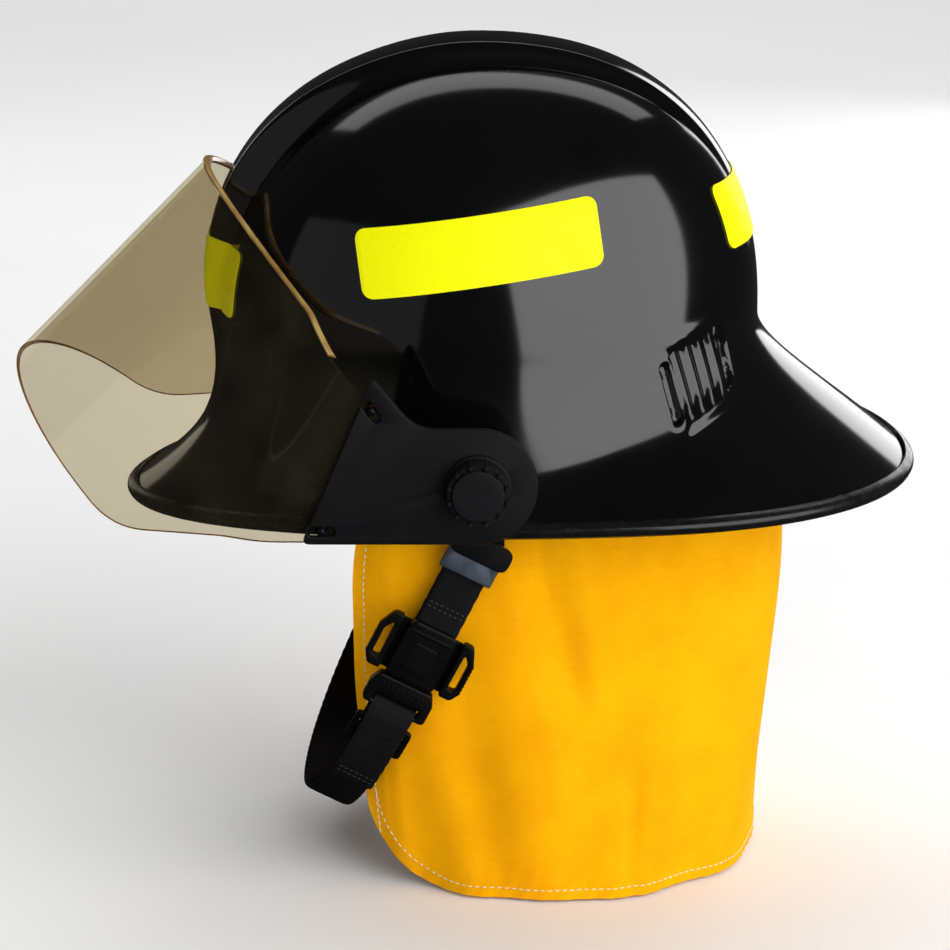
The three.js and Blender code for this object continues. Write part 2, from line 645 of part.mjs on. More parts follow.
// Middle surface of the shield: step runs from -SHIELD_STEPS to SHIELD_STEPS, drop down the slope.
function shieldPoint(step, drop) {
  const index = Math.min(Math.abs(step), SHIELD_STEPS);
  const low = Math.floor(index);
  const high = Math.min(low + 1, SHIELD_STEPS);
  const share = Math.max(0, drop / SHIELD.length) ** 0.8;
  const pick = (axis) => {
    const top = THREE.MathUtils.lerp(TOP_CURVE[low][axis], TOP_CURVE[high][axis], index - low);
    const bottom = THREE.MathUtils.lerp(BOTTOM_CURVE[low][axis], BOTTOM_CURVE[high][axis], index - low);
    return THREE.MathUtils.lerp(top, bottom, share);
  };
  const y = SHIELD.apexY + SLOPE.x * drop + BACK.x * pick(1);
  const z = SHIELD.apexZ + SLOPE.y * drop + BACK.y * pick(1);
  const ahead = (PLATE_FRONT.y - y) * 0.927 + (z - PLATE_FRONT.z) * 0.376;
  const x = THREE.MathUtils.lerp(SHIELD.sideX, Math.min(pick(0), SHIELD.sideX), smooth(7, 33, ahead));
  return new THREE.Vector3(Math.sign(step) * x, y, z);
}

function shieldOut(step, drop) {
  const round = shieldPoint(step + 0.05, drop).sub(shieldPoint(step - 0.05, drop));
  const down = shieldPoint(step, drop + 0.5).sub(shieldPoint(step, Math.max(0, drop - 0.5)));
  return round.cross(down).normalize().negate();
}

// Side view of the trimmed shield: straight lower edge, rounded corner, level side, slanted rear end.
function shieldProfile() {
  const edge = (depth, drop) => new THREE.Vector2(SHIELD.apexY + SLOPE.x * drop + BACK.x * depth,
    SHIELD.apexZ + SLOPE.y * drop + BACK.y * depth);
  const start = edge(-6, SHIELD.length);
  const cornerDepth = (edge(0, SHIELD.length).y - SHIELD.lowZ) / -BACK.y;
  const corner = edge(cornerDepth, SHIELD.length);
  const before = edge(cornerDepth - 14, SHIELD.length);
  const shape = new THREE.Shape();
  shape.moveTo(start.x, start.y);
  shape.lineTo(before.x, before.y);
  shape.quadraticCurveTo(corner.x, corner.y, corner.x + 14, corner.y);
  shape.lineTo(-58, SHIELD.lowZ);
  shape.lineTo(-34, 71);
  shape.lineTo(-34, 100);
  shape.lineTo(-90, 170);
  shape.lineTo(-150, 170);
  return shape;
}

const STUDS = [{ name: 'upper', y: -43.5, z: 66.5 }, { name: 'lower', y: -65, z: 14 }];

function faceShield() {
  const drops = [0, 25, 60, 95, SHIELD.length + 2];
  const face = (offset) => {
    const rows = [];
    for (let step = -SHIELD_STEPS; step <= SHIELD_STEPS; step++) {
      rows.push(drops.map((drop) => {
        const out = shieldOut(step, drop);
        return shieldPoint(step, drop).addScaledVector(out, offset);
      }));
    }
    return rows;
  };
  let sheetSolid = solid(sheet(face(SHIELD.wall / 2), face(-SHIELD.wall / 2)));
  sheetSolid = sheetSolid.intersect(solid(sideSlab(shieldProfile(), -140, 140)));
  for (const stud of STUDS) {
    for (const side of [-1, 1]) {
      const hole = turnedX([[0, 120], [1.5, 120], [1.5, 140], [0, 140]], stud.y, stud.z, 12);
      sheetSolid = sheetSolid.subtract(solid(side > 0 ? hole : mirrored(hole)));
    }
  }
  return geometryOf(sheetSolid);
}

// A lip along the top edge of the sheet, ending short of the side plates.
function shieldBead() {
  const end = TOP_CURVE.findIndex(([, depth]) => depth > 84);
  const rings = [];
  for (let step = -end; step <= end; step++) {
    const top = shieldPoint(step, 0);
    const out = shieldOut(step, 0);
    const up = top.clone().sub(shieldPoint(step, 4)).normalize();
    const section = [[2, 2 * GAP], [2.2, 2], [1, 3.4], [-1, 3.4], [-2.2, 2], [-2, 2 * GAP]];
    rings.push(section.map(([a, b]) => top.clone().addScaledVector(out, a).addScaledVector(up, b)));
  }
  return loft(rings);
}

function slotPath(y, z, length, width, angle) {
  const path = new THREE.Path();
  const [c, s] = [Math.cos(angle), Math.sin(angle)];
  const [h, r] = [(length - width) / 2, width / 2];
  path.absarc(y + h * c, z + h * s, r, angle - Math.PI / 2, angle + Math.PI / 2);
  path.absarc(y - h * c, z - h * s, r, angle + Math.PI / 2, angle + Math.PI * 1.5);
  path.closePath();
  return path;
}

function shieldPlate() {
  const low = PIVOT.z - PLATE.radius;
  const high = PIVOT.z + PLATE.radius;
  const outline = new THREE.Shape();
  outline.moveTo(-70.5, low);
  outline.lineTo(PIVOT.y, low);
  outline.absarc(PIVOT.y, PIVOT.z, PLATE.radius, -Math.PI / 2, Math.PI / 2);
  outline.lineTo(-18, high);
  outline.quadraticCurveTo(-26, high + 1, -31.4, high + 8);
  outline.lineTo(-40, high + 18.6);
  outline.quadraticCurveTo(-43.4, high + 21.4, -46, high + 18);
  outline.lineTo(-72.8, low + 3);
  outline.quadraticCurveTo(-73.4, low, -70.5, low);
  outline.holes.push(new THREE.Path().absarc(PIVOT.y, PIVOT.z, PIVOT.boltRadius + 0.4, 0, 2 * Math.PI, true));
  outline.holes.push(slotPath(STUDS[0].y, STUDS[0].z, 9, 3.4, -60 * RAD));
  outline.holes.push(slotPath(STUDS[1].y, STUDS[1].z, 9, 3.4, 0));
  const plate = sideSlab(outline, PLATE.innerX, PLATE_OUT_X, 0.6, 4);
  const boss = ringX(PIVOT.boltRadius + 0.4, 17, PLATE_OUT_X - 0.5, BOSS_X, 24);
  return geometryOf(solid(plate).add(solid(boss)));
}

function shieldStud(stud) {
  const inside = SHIELD.sideX - SHIELD.wall / 2 - GAP;
  const outside = PLATE_OUT_X + GAP;
  return turnedX([[0, inside - 1.4], [3, inside - 1.4], [3, inside], [1.2, inside], [1.2, outside],
    [3, outside], [2.6, outside + 1.2], [0, outside + 1.4]], stud.y, stud.z, 9);
}

addPair('pivot_mount', pivotMount(), satinBlack);
addPair('pivot_bolt', pivotBolt(), steel);
addPair('pivot_washer', ringX(3.4, 16, WASHER.x0, WASHER.x1), mattBlack);
add('face_shield', faceShield(), amber);
add('shield_lip', shieldBead(), amberEdge);
addPair('shield_plate', shieldPlate(), satinBlack);
for (const stud of STUDS) addPair('shield_stud_' + stud.name, shieldStud(stud), glossBlack);
addPair('clamp_knob', clampKnob(), mattBlack);

// ---------------------------------------------------------------- chin strap
// A tab behind the pivot bolt, with a headed peg that the strap's metal ring hangs on.
function strapHanger() {
  const shape = new THREE.Shape();
  const half = HANGER.halfWidth;
  const top = PIVOT.z + 9;
  shape.moveTo(PIVOT.y - 9, top);
  shape.quadraticCurveTo(PIVOT.y - half, top, PIVOT.y - half, top - 8);
  shape.lineTo(PIVOT.y - half, HANGER.lowZ + 5);
  shape.quadraticCurveTo(PIVOT.y - half, HANGER.lowZ, PIVOT.y - half + 5, HANGER.lowZ);
  shape.lineTo(PIVOT.y + half - 5, HANGER.lowZ);
  shape.quadraticCurveTo(PIVOT.y + half, HANGER.lowZ, PIVOT.y + half, HANGER.lowZ + 5);
  shape.lineTo(PIVOT.y + half, top - 8);
  shape.quadraticCurveTo(PIVOT.y + half, top, PIVOT.y + 9, top);
  shape.holes.push(new THREE.Path().absarc(PIVOT.y, PIVOT.z, PIVOT.boltRadius + 0.4, 0, 2 * Math.PI, true));
  const plate = solid(sideSlab(shape, HANGER.x0, HANGER.x1, 0, 5));
  const { pegRadius, pegX, x1 } = HANGER;
  const peg = turnedX([[0, x1 - 1], [pegRadius, x1 - 1], [pegRadius, pegX - 2], [5, pegX - 2],
    [5, pegX - 0.6], [4.2, pegX], [0, pegX]], PIVOT.y, STRAP.topZ, 12);
  return geometryOf(plate.add(solid(peg)));
}

addPair('strap_hanger', strapHanger(), satinBlack);

// The strap hangs in a plane that holds X and leans forward. In that plane a point is [x, down].
const LEAN = STRAP.lean * RAD;
const DOWN = new THREE.Vector3(0, -Math.sin(LEAN), -Math.cos(LEAN));
const WIDE = new THREE.Vector3(0, Math.cos(LEAN), -Math.sin(LEAN));
const STRAP_TOP = new THREE.Vector3(0, PIVOT.y, STRAP.topZ);

function strapPlace(x, down, wide = 0) {
  return STRAP_TOP.clone().addScaledVector(DOWN, down).addScaledVector(WIDE, wide).setX(x);
}

// Flat webbing through [x, down] points.
function strapRun(points, wall = STRAP.wall, width = STRAP.width) {
  return loft(points.map(([x, down], i) => {
    const before = points[Math.max(0, i - 1)];
    const after = points[Math.min(points.length - 1, i + 1)];
    const run = new THREE.Vector2(after[0] - before[0], after[1] - before[1]).normalize();
    const corners = [[-1, 1], [1, 1], [1, -1], [-1, -1]];
    return corners.map(([wide, thick]) => {
      const off = thick * wall / 2;
      return strapPlace(x - run.y * off, down + run.x * off, wide * width / 2);
    });
  }));
}

// The loop is a superellipse: nearly upright at the sides, rounded under the chin.
function loopPoint(turn) {
  return [STRAP.halfSpan * Math.sin(turn), STRAP.depth * Math.sqrt(Math.abs(Math.cos(turn)))];
}

function sidePoint(down) {
  return [STRAP.halfSpan * Math.sqrt(1 - (down / STRAP.depth) ** 4), down];
}

function chinTurn() {
  const end = Math.acos((TURN_DOWN / STRAP.depth) ** 2);
  return Array.from({ length: 15 }, (_, i) => loopPoint(end * (1 - i / 7)));
}

const sideDown = (from, to, steps) => Array.from({ length: steps + 1 }, (_, i) => from + (to - from) * i / steps);

add('strap_upper', strapRun(sideDown(8.3, BUCKLE.top - 2, 2).map(sidePoint), 3.4), webbing);
const farSide = sideDown(TURN_DOWN - 12, 10, 4).map(sidePoint).map(([x, down]) => [-x, down]);
const nearSide = [BUCKLE.bottom + 2, TURN_DOWN - 11].map(sidePoint);
add('strap_lower', strapRun([...nearSide, ...chinTurn(), ...farSide]), webbing);

// A flat metal ring round the hanger's peg.
function strapRing() {
  const outline = roundedRectangle(24, 13, 2.5);
  outline.holes.push(roundedRectangle(15.4, 7.2, 1));
  const frame = new THREE.ExtrudeGeometry(outline, { depth: 2, bevelEnabled: false, curveSegments: 3 });
  return frame.translate(0, 0, -1);
}

// Places a piece drawn with x along the strap's width, y up the strap and z out from the wearer.
function onStrap(geometry, down, off = 0) {
  const [x] = sidePoint(down);
  const [x2, down2] = sidePoint(down - 10);
  const up = strapPlace(x2, down2).sub(strapPlace(x, down)).normalize();
  const out = WIDE.clone().cross(up).normalize();
  const matrix = new THREE.Matrix4().makeBasis(WIDE, up, out);
  matrix.setPosition(strapPlace(x, down).addScaledVector(out, off));
  return geometry.applyMatrix4(matrix);
}

function cutBox(width, height, depth, x, y, z) {
  return solid(new THREE.BoxGeometry(width, height, depth).translate(x, y, z));
}

function block(width, height, depth, radius = 2) {
  const geometry = new THREE.ExtrudeGeometry(roundedRectangle(width - 1.6, height - 1.6, radius), {
    depth: depth - 1.6, bevelThickness: 0.8, bevelSize: 0.8, bevelSegments: 1, curveSegments: 3,
  });
  return geometry.translate(0, 0, -(depth - 1.6) / 2);
}

function buckleSocket() {
  const body = solid(block(23, 28, 9, 3)).subtract(cutBox(17, 24, 4.6, 0, -8, 0));
  return onStrap(geometryOf(body), BUCKLE.middle);
}

function buckleTongue() {
  const body = solid(block(30, 16, 7, 3))
    .add(cutBox(15.6, 20, 3.4, 0, 16, 0))
    .subtract(cutBox(21.5, 3.4, 9, 0, -3.4, 0));
  return onStrap(geometryOf(body.translate([0, -22.6, 0])), BUCKLE.middle);
}

function buckleProng(side) {
  const outline = roundedRectangle(8.4, 27, 3.8);
  outline.holes.push(roundedRectangle(3.4, 15, 1.6));
  const prong = new THREE.ExtrudeGeometry(outline, { depth: 5, bevelEnabled: false, curveSegments: 2 });
  return onStrap(prong.translate(side * 18.6, -0.5, -2.5), BUCKLE.middle);
}

function slider() {
  const outline = roundedRectangle(27, 15, 2.5);
  outline.holes.push(roundedRectangle(21.4, 3.2, 0.5));
  const frame = new THREE.ExtrudeGeometry(outline, { depth: 2.6, bevelEnabled: false, curveSegments: 3 });
  return onStrap(frame.translate(0, 0, STRAP.wall / 2 + GAP), SLIDER_DOWN);
}

// The loose end lies over the slider, off the strap's outer face.
function strapTail() {
  const off = 6.6;
  const run = sideDown(88, 124, 4).map(sidePoint);
  return strapRun(run.map(([x, down], i) => {
    const [x2, down2] = run[Math.max(1, i)];
    const [x1, down1] = run[Math.max(1, i) - 1];
    const step = Math.hypot(x2 - x1, down2 - down1);
    return [x + off * (down2 - down1) / step, down - off * (x2 - x1) / step];
  }));
}

addPair('strap_ring', onStrap(strapRing(), 0.5), steel);
add('buckle_socket', buckleSocket(), mattBlack);
add('buckle_tongue', buckleTongue(), mattBlack);
add('buckle_prong_rear', buckleProng(1), mattBlack);
add('buckle_prong_front', buckleProng(-1), mattBlack);
add('strap_slider', slider(), mattBlack);
add('strap_tail', strapTail(), webbing);

export default helmet;
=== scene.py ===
import math
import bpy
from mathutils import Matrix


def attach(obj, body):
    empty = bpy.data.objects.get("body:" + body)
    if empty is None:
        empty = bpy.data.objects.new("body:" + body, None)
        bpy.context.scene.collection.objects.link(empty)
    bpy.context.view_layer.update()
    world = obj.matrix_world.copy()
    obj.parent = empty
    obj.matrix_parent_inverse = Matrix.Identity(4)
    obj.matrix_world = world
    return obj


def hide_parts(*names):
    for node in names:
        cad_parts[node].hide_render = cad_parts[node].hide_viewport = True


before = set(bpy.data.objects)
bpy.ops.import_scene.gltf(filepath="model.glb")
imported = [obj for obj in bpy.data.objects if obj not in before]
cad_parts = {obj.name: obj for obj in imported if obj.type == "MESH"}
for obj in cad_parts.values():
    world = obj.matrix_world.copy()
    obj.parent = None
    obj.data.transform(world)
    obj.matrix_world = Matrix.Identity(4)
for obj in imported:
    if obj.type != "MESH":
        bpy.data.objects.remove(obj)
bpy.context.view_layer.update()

from types import SimpleNamespace

import bmesh
import bpy
import numpy as np
from mathutils import Matrix, Vector

# Firefighter helmet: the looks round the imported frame. Shapes are worked out in millimetres and
# scaled to metres when a mesh is made. -Y is the wearer's front, +X the wearer's left.
MM = 0.001

# ------------------------------------------------------------------ driving dimensions, as in the frame
SHELL_WALL = 3.0
DOME = SimpleNamespace(centre_y=4.0, centre_z=80.0, half_width=103.0, front=119.0, rear=123.5, height=115.0,
                       power=2.15, share=0.55)
BRIM = SimpleNamespace(half_width=132.6, widest_y=74.0, front_y=-157.8, rear_y=198.6, front_z=-2.0,
                       rear_z=12.0, side_rise=7.0)
COMB = SimpleNamespace(top=14.5, foot=22.5)
GAP = 0.3
COMB_HEIGHTS = [
    (28, 0), (45, 2.4), (66, 6.4), (90, 8.6), (113, 9.2),
    (130, 11.6), (148, 12.4), (165, 9.6), (180, 5), (194, 0),
]
TAPE = SimpleNamespace(length=104.0, height=31.0, corner=5.0, thickness=0.5)
PIVOT = SimpleNamespace(y=1.3, z=33.6)
SHIELD = SimpleNamespace(apex_y=-121.0, apex_z=145.2, slope=math.radians(45.5), length=122.0, wall=2.0,
                         side_x=131.6, low_z=8.2)
PLATE = SimpleNamespace(inner=133.0, outer=136.5, radius=25.3, front_y=-46.0, front_z=77.0)
STUDS = {"upper": (-43.5, 66.5), "lower": (-65.0, 14.0)}
STRAP = SimpleNamespace(width=20.0, wall=1.8, lean=math.radians(26.8), top_z=-4.0, depth=160.0,
                        half_span=101.0)
BUCKLE = SimpleNamespace(top=40.0, middle=54.0, bottom=85.0)
SLIDER_DOWN = 97.0
TURN_DOWN = 112.0
CURTAIN = SimpleNamespace(top_z=48.0, hem_z=-171.5, half_length=250.0, corner=38.0, wall=1.35,
                          stitch_inset=4.6)
KNOB_SIZE = SimpleNamespace(depth=13.0, skirt_depth=10.6, skirt=13.3, cap=11.2, nubs=12, nub_ring=12.5,
                            bore=3.35)
CAMERA = SimpleNamespace(elevation=math.radians(16.0), distance=1.7, metres_per_pixel=0.4586e-3, pixels=950)


def word_of(side):
    return "left" if side > 0 else "right"


# ------------------------------------------------------------------ mesh helpers
def closed(name, points, faces, sharp=40):
    """A closed mesh, turned so that its faces point out."""
    points = np.asarray(points, float) * MM
    mesh = bpy.data.meshes.new(name)
    mesh.from_pydata(points.tolist(), [], faces)
    mesh.calc_loop_triangles()
    corners = np.empty(len(mesh.loop_triangles) * 3, np.int32)
    mesh.loop_triangles.foreach_get("vertices", corners)
    a, b, c = points[corners.reshape(-1, 3)].transpose(1, 0, 2)
    if np.einsum("ij,ij", a, np.cross(b, c)) < 0:
        mesh.flip_normals()
    mesh.shade_smooth()
    mesh.set_sharp_from_angle(angle=math.radians(sharp))
    obj = bpy.data.objects.new(name, mesh)
    bpy.context.collection.objects.link(obj)
    return obj


def grid_faces(rows, columns, wrap_rows=False, wrap_columns=False):
    i = np.arange(rows if wrap_rows else rows - 1)
    j = np.arange(columns if wrap_columns else columns - 1)
    a, b = np.meshgrid(i, j, indexing="ij")
    a2, b2 = (a + 1) % rows, (b + 1) % columns
    quads = np.stack([a * columns + b, a2 * columns + b, a2 * columns + b2, a * columns + b2], -1)
    return quads.reshape(-1, 4).tolist()


def loft(name, rings, joined=False, sharp=40):
    """A closed surface through rings[i, j]: its ends are capped, or the last ring joins the first."""
    rings = np.asarray(rings, float)
    rows, columns = rings.shape[:2]
    faces = grid_faces(rows, columns, wrap_rows=joined, wrap_columns=True)
    if not joined:
        last = (rows - 1) * columns
        faces.append(list(range(columns)))
        faces.append([last + j for j in reversed(range(columns))])
    return closed(name, rings.reshape(-1, 3), faces, sharp)


def sheet_solid(name, outer, inner, sharp=40):
    """A closed sheet between two grids of points."""
    return loft(name, np.concatenate([outer, inner[:, ::-1]], axis=1), sharp=sharp)


def thread(a, b, out, radius):
    """Rings of one stitch: a short thread that dips in at both ends."""
    run = b - a
    side = unit(np.cross(run, out))
    turn = np.arange(6) / 6 * 2 * math.pi
    rings = []
    for t in np.linspace(0, 1, 6):
        rise = math.sin(math.pi * t) ** 0.5
        r = radius * (0.35 + 0.65 * rise)
        middle = a + run * t + out * (rise - 0.55) * radius
        rings.append(middle + r * np.outer(np.cos(turn), side) + 0.7 * r * np.outer(np.sin(turn), out))
    return np.array(rings)


def many_lofts(name, stacks):
    """One mesh of many small closed lofts of the same size."""
    rows, columns = stacks[0].shape[:2]
    body = grid_faces(rows, columns, wrap_columns=True)
    last = (rows - 1) * columns
    body.append(list(range(columns)))
    body.append([last + j for j in reversed(range(columns))])
    faces = [[index + k * rows * columns for index in face] for k in range(len(stacks)) for face in body]
    return closed(name, np.array(stacks).reshape(-1, 3), faces, sharp=80)


def lathe(name, profile, y, z, side=1, segments=64, sharp=30):
    """Turned about the line through (y, z) along X; profile is (radius, x) pairs from axis to axis."""
    angles = np.arange(segments) / segments * 2 * math.pi
    rings = np.array([[(side * x, y + r * math.cos(a), z + r * math.sin(a)) for a in angles]
                      for r, x in profile])
    return loft(name, rings, sharp=sharp)


def rounded(points, radius, steps=6):
    """The same outline with its corners rounded; radius is one number or one for each corner."""
    out = []
    count = len(points)
    for i, point in enumerate(points):
        r = radius[i] if isinstance(radius, (list, tuple)) else radius
        p = Vector(point)
        before = Vector(points[i - 1]) - p
        after = Vector(points[(i + 1) % count]) - p
        half = before.angle(after) / 2
        reach = min(r / math.tan(half), before.length * 0.49, after.length * 0.49)
        a = p + before.normalized() * reach
        b = p + after.normalized() * reach
        for k in range(steps + 1):
            t = k / steps
            out.append(tuple(a * (1 - t) ** 2 + p * 2 * t * (1 - t) + b * t * t))
    return out


def oval(y, z, length, width, angle=0.0, steps=10):
    """A slot's outline, running clockwise so that it cuts a hole."""
    half, r = (length - width) / 2, width / 2
    points = []
    for end, start in ((1, -math.pi / 2), (-1, math.pi / 2)):
        for k in range(steps + 1):
            a = start + math.pi * k / steps
            points.append((end * half + r * math.cos(a), r * math.sin(a)))
    c, s = math.cos(angle), math.sin(angle)
    return [(y + c * u - s * v, z + s * u + c * v) for u, v in points][::-1]


def moulded(name, outline, depth, bevel, holes=()):
    """An outline in the plane with depth across it, its edges rounded off by bevel."""
    curve = bpy.data.curves.new(name, "CURVE")
    curve.dimensions = "2D"
    curve.fill_mode = "BOTH"
    curve.extrude = (depth / 2 - bevel) * MM
    curve.bevel_depth = bevel * MM
    curve.bevel_resolution = 2
    curve.offset = -bevel * MM
    for loop in [outline, *holes]:
        spline = curve.splines.new("POLY")
        spline.points.add(len(loop) - 1)
        for point, (u, v) in zip(spline.points, loop):
            point.co = (u * MM, v * MM, 0, 1)
        spline.use_cyclic_u = True
    source = bpy.data.objects.new(name + "_curve", curve)
    bpy.context.collection.objects.link(source)
    mesh = bpy.data.meshes.new_from_object(source.evaluated_get(bpy.context.evaluated_depsgraph_get()))
    bpy.data.objects.remove(source)
    bpy.data.curves.remove(curve)
    mesh.name = name
    obj = bpy.data.objects.new(name, mesh)
    bpy.context.collection.objects.link(obj)
    return tidy_mesh(obj)


def tidy_mesh(obj, merge=2e-6, sharp=32):
    """Welds the points that curves and booleans leave double, and sets the sharp edges."""
    work = bmesh.new()
    work.from_mesh(obj.data)
    bmesh.ops.remove_doubles(work, verts=work.verts, dist=merge)
    bmesh.ops.recalc_face_normals(work, faces=work.faces)
    work.to_mesh(obj.data)
    work.free()
    obj.data.shade_smooth()
    obj.data.set_sharp_from_angle(angle=math.radians(sharp))
    return obj


def placed(obj, across, up, out, origin):
    """Moves a mesh drawn in its own x, y and z to three directions and a place, given in millimetres."""
    points = np.empty(len(obj.data.vertices) * 3)
    obj.data.vertices.foreach_get("co", points)
    points = points.reshape(-1, 3)
    moved = points @ np.array([across, up, out]) + np.array(origin) * MM
    obj.data.vertices.foreach_set("co", moved.ravel())
    if np.linalg.det(np.array([across, up, out])) < 0:
        obj.data.flip_normals()
    obj.data.update()
    return obj


def joined(name, pieces):
    """One mesh made of several."""
    with bpy.context.temp_override(active_object=pieces[0], selected_editable_objects=pieces):
        bpy.ops.object.join()
    pieces[0].name = name
    pieces[0].data.name = name
    return pieces[0]


def boolean(obj, cutter, operation):
    change = obj.modifiers.new("cut", "BOOLEAN")
    change.operation = operation
    change.object = cutter
    change.solver = "EXACT"
    change.material_mode = "TRANSFER"
    mesh = bpy.data.meshes.new_from_object(obj.evaluated_get(bpy.context.evaluated_depsgraph_get()))
    obj.modifiers.clear()
    obj.data = mesh
    bpy.data.objects.remove(cutter)
    return tidy_mesh(obj)


def smooth(low, high, value):
    t = np.clip((value - low) / (high - low), 0, 1)
    return t * t * (3 - 2 * t)


def unit(vectors):
    return vectors / np.maximum(np.linalg.norm(vectors, axis=-1, keepdims=True), 1e-9)


# ------------------------------------------------------------------ shell surface
def dome_radius(azimuth, inset=0.0):
    reach = np.where(np.cos(azimuth) > 0, DOME.rear, DOME.front) - inset
    across = np.abs(np.sin(azimuth)) / (DOME.half_width - inset)
    lengthways = np.abs(np.cos(azimuth)) / reach
    return (across ** DOME.power + lengthways ** DOME.power) ** (-1 / DOME.power)


def dome_power(azimuth):
    return 2.2 + 0.2 * np.cos(azimuth)


def brim_edge(azimuth):
    """Radius and level of the brim's edge."""
    s, c = np.sin(azimuth), np.cos(azimuth)
    back = DOME.centre_y - BRIM.widest_y

    def reach(half):
        a = (s / BRIM.half_width) ** 2 + (c / half) ** 2
        b = back * c / half ** 2
        return (-b + np.sqrt(b * b - a * ((back / half) ** 2 - 1))) / a

    rear = reach(BRIM.rear_y - BRIM.widest_y)
    front = reach(BRIM.widest_y - BRIM.front_y)
    radius = np.where(DOME.centre_y + rear * c > BRIM.widest_y, rear, front)
    share = (DOME.centre_y + radius * c - BRIM.front_y) / (BRIM.rear_y - BRIM.front_y)
    level = BRIM.front_z + share * (BRIM.rear_z - BRIM.front_z)
    return radius, level + BRIM.side_rise * (radius * s / BRIM.half_width) ** 2


def around(azimuth, front, side, rear):
    c = np.cos(azimuth)
    return side + np.where(c > 0, rear - side, front - side) * c * c


def base_points(azimuth, height):
    """Height 0 is the crown, DOME.share the dome's widest line and 1 the brim's edge."""
    azimuth, height = np.broadcast_arrays(azimuth, height)
    wall = dome_radius(azimuth)
    angle = (1 - np.minimum(height / DOME.share, 1)) * math.pi / 2
    power = 2 / dome_power(azimuth)
    dome_r = wall * np.maximum(0, np.cos(angle)) ** power
    dome_z = DOME.centre_z + DOME.height * np.sin(angle) ** power
    t = np.maximum(0, (height - DOME.share) / (1 - DOME.share))
    edge_r, edge_z = brim_edge(azimuth)
    drop = DOME.centre_z - edge_z
    z1 = DOME.centre_z - around(azimuth, 0.61, 0.54, 0.235) * drop
    r2 = wall + around(azimuth, 0.28, 0.23, 0.345) * (edge_r - wall)
    z2 = edge_z + around(azimuth, 0.244, 0.2, 0.56) * drop
    b0, b1, b2, b3 = (1 - t) ** 3, 3 * t * (1 - t) ** 2, 3 * t * t * (1 - t), t ** 3
    flare_r = (b0 + b1) * wall + b2 * r2 + b3 * edge_r
    flare_z = b0 * DOME.centre_z + b1 * z1 + b2 * z2 + b3 * edge_z
    on_dome = height <= DOME.share
    radius = np.where(on_dome, dome_r, flare_r)
    return np.stack([radius * np.sin(azimuth), DOME.centre_y + radius * np.cos(azimuth),
                     np.where(on_dome, dome_z, flare_z)], -1)


def outward(azimuth, height):
    step = 1e-3
    low = np.maximum(height, 2 * step)
    down = base_points(azimuth, np.minimum(low + step, 1)) - base_points(azimuth, low - step)
    turn = base_points(azimuth + step, low) - base_points(azimuth - step, low)
    return unit(np.cross(turn, down))


def comb_height(points):
    """The raised comb over the crown, with a fine groove along its foot."""
    angle = np.degrees(np.arctan2(points[..., 2] - DOME.centre_z, points[..., 1] - DOME.centre_y))
    angle = np.where(angle < -90, angle + 360, angle)
    places, values = zip(*COMB_HEIGHTS)
    height = np.mean([np.interp(angle + shift, places, values) for shift in (-8, -4, 0, 4, 8)], axis=0)
    wide = np.abs(points[..., 0])
    side = 1 - smooth(COMB.top, COMB.foot, wide)
    groove = 0.5 * np.exp(-((wide - COMB.foot - 0.6) / 1.2) ** 2) * smooth(1, 4, height)
    return height * side - groove


# The boss moulded into each side at the rear: a fluted pad between two upright slots.
BOSS = SimpleNamespace(y=84.6, z=61.4, lean=0.32, slot_half=11.0, flute=7.3, width=35.5, head=15.5,
                       foot=-17.5)


def boss_relief(points):
    """The pad's head is sunk into the shell and its foot stands proud of it."""
    along = points[..., 1] - BOSS.y
    run = along * (1.2 + 0.0075 * np.maximum(0, along))
    rise = points[..., 2] - BOSS.z
    u = run * math.cos(BOSS.lean) + rise * math.sin(BOSS.lean)
    w = rise * math.cos(BOSS.lean) - run * math.sin(BOSS.lean)
    relief = 0.0
    for centre in (0.0, BOSS.width):
        slot = np.hypot(u - centre, np.maximum(0, np.abs(w) - BOSS.slot_half))
        relief = relief - 2.4 * (1 - smooth(1.0, 2.6, slot)) + 0.4 * np.exp(-((slot - 3.4) / 0.8) ** 2)
    across = smooth(3.4, 5.6, u) * (1 - smooth(BOSS.width - 5.6, BOSS.width - 3.4, u))
    below_head = 1 - smooth(BOSS.head - 1.5, BOSS.head + 2.0, w)
    pad = across * smooth(BOSS.foot - 2.5, BOSS.foot + 1.5, w) * below_head
    slant = 0.4 - 2.0 * w / (BOSS.head - BOSS.foot)
    fading = smooth(BOSS.foot + 1, BOSS.foot + 9, w)
    flutes = 0.7 * np.cos(2 * math.pi * (u - 0.9 * BOSS.flute) / BOSS.flute) * fading
    brow = 0.7 * across * np.exp(-((w - BOSS.head - 4.0) / 2.2) ** 2)
    relief = relief + pad * (slant + flutes) + brow
    return relief * (np.abs(points[..., 0]) > 30)


def surface(azimuth, height, offset=0.0, detail=False):
    """A point of the shell, offset outwards from its outer face."""
    points = base_points(azimuth, height)
    raised = comb_height(points) + offset
    if detail:
        raised = raised + boss_relief(points)
    return points + outward(azimuth, height) * raised[..., None]


def side_point(y, z, offset=0.0, side=1):
    """The shell's surface at a given y and z on one side."""
    y, z = np.broadcast_arrays(np.asarray(y, float), np.asarray(z, float))
    low, high = np.full(y.shape, math.radians(15)), np.full(y.shape, math.radians(165))
    for _ in range(36):
        middle = (low + high) / 2
        height = height_at(middle, z)
        ahead = base_points(middle, height)[..., 1] > y
        low, high = np.where(ahead, middle, low), np.where(ahead, high, middle)
    return surface(side * low, height_at(low, z), offset)


def height_at(azimuth, z):
    low, high = np.full(azimuth.shape, 0.02), np.ones(azimuth.shape)
    for _ in range(36):
        middle = (low + high) / 2
        above = base_points(azimuth, middle)[..., 2] > z
        low, high = np.where(above, middle, low), np.where(above, high, middle)
    return low


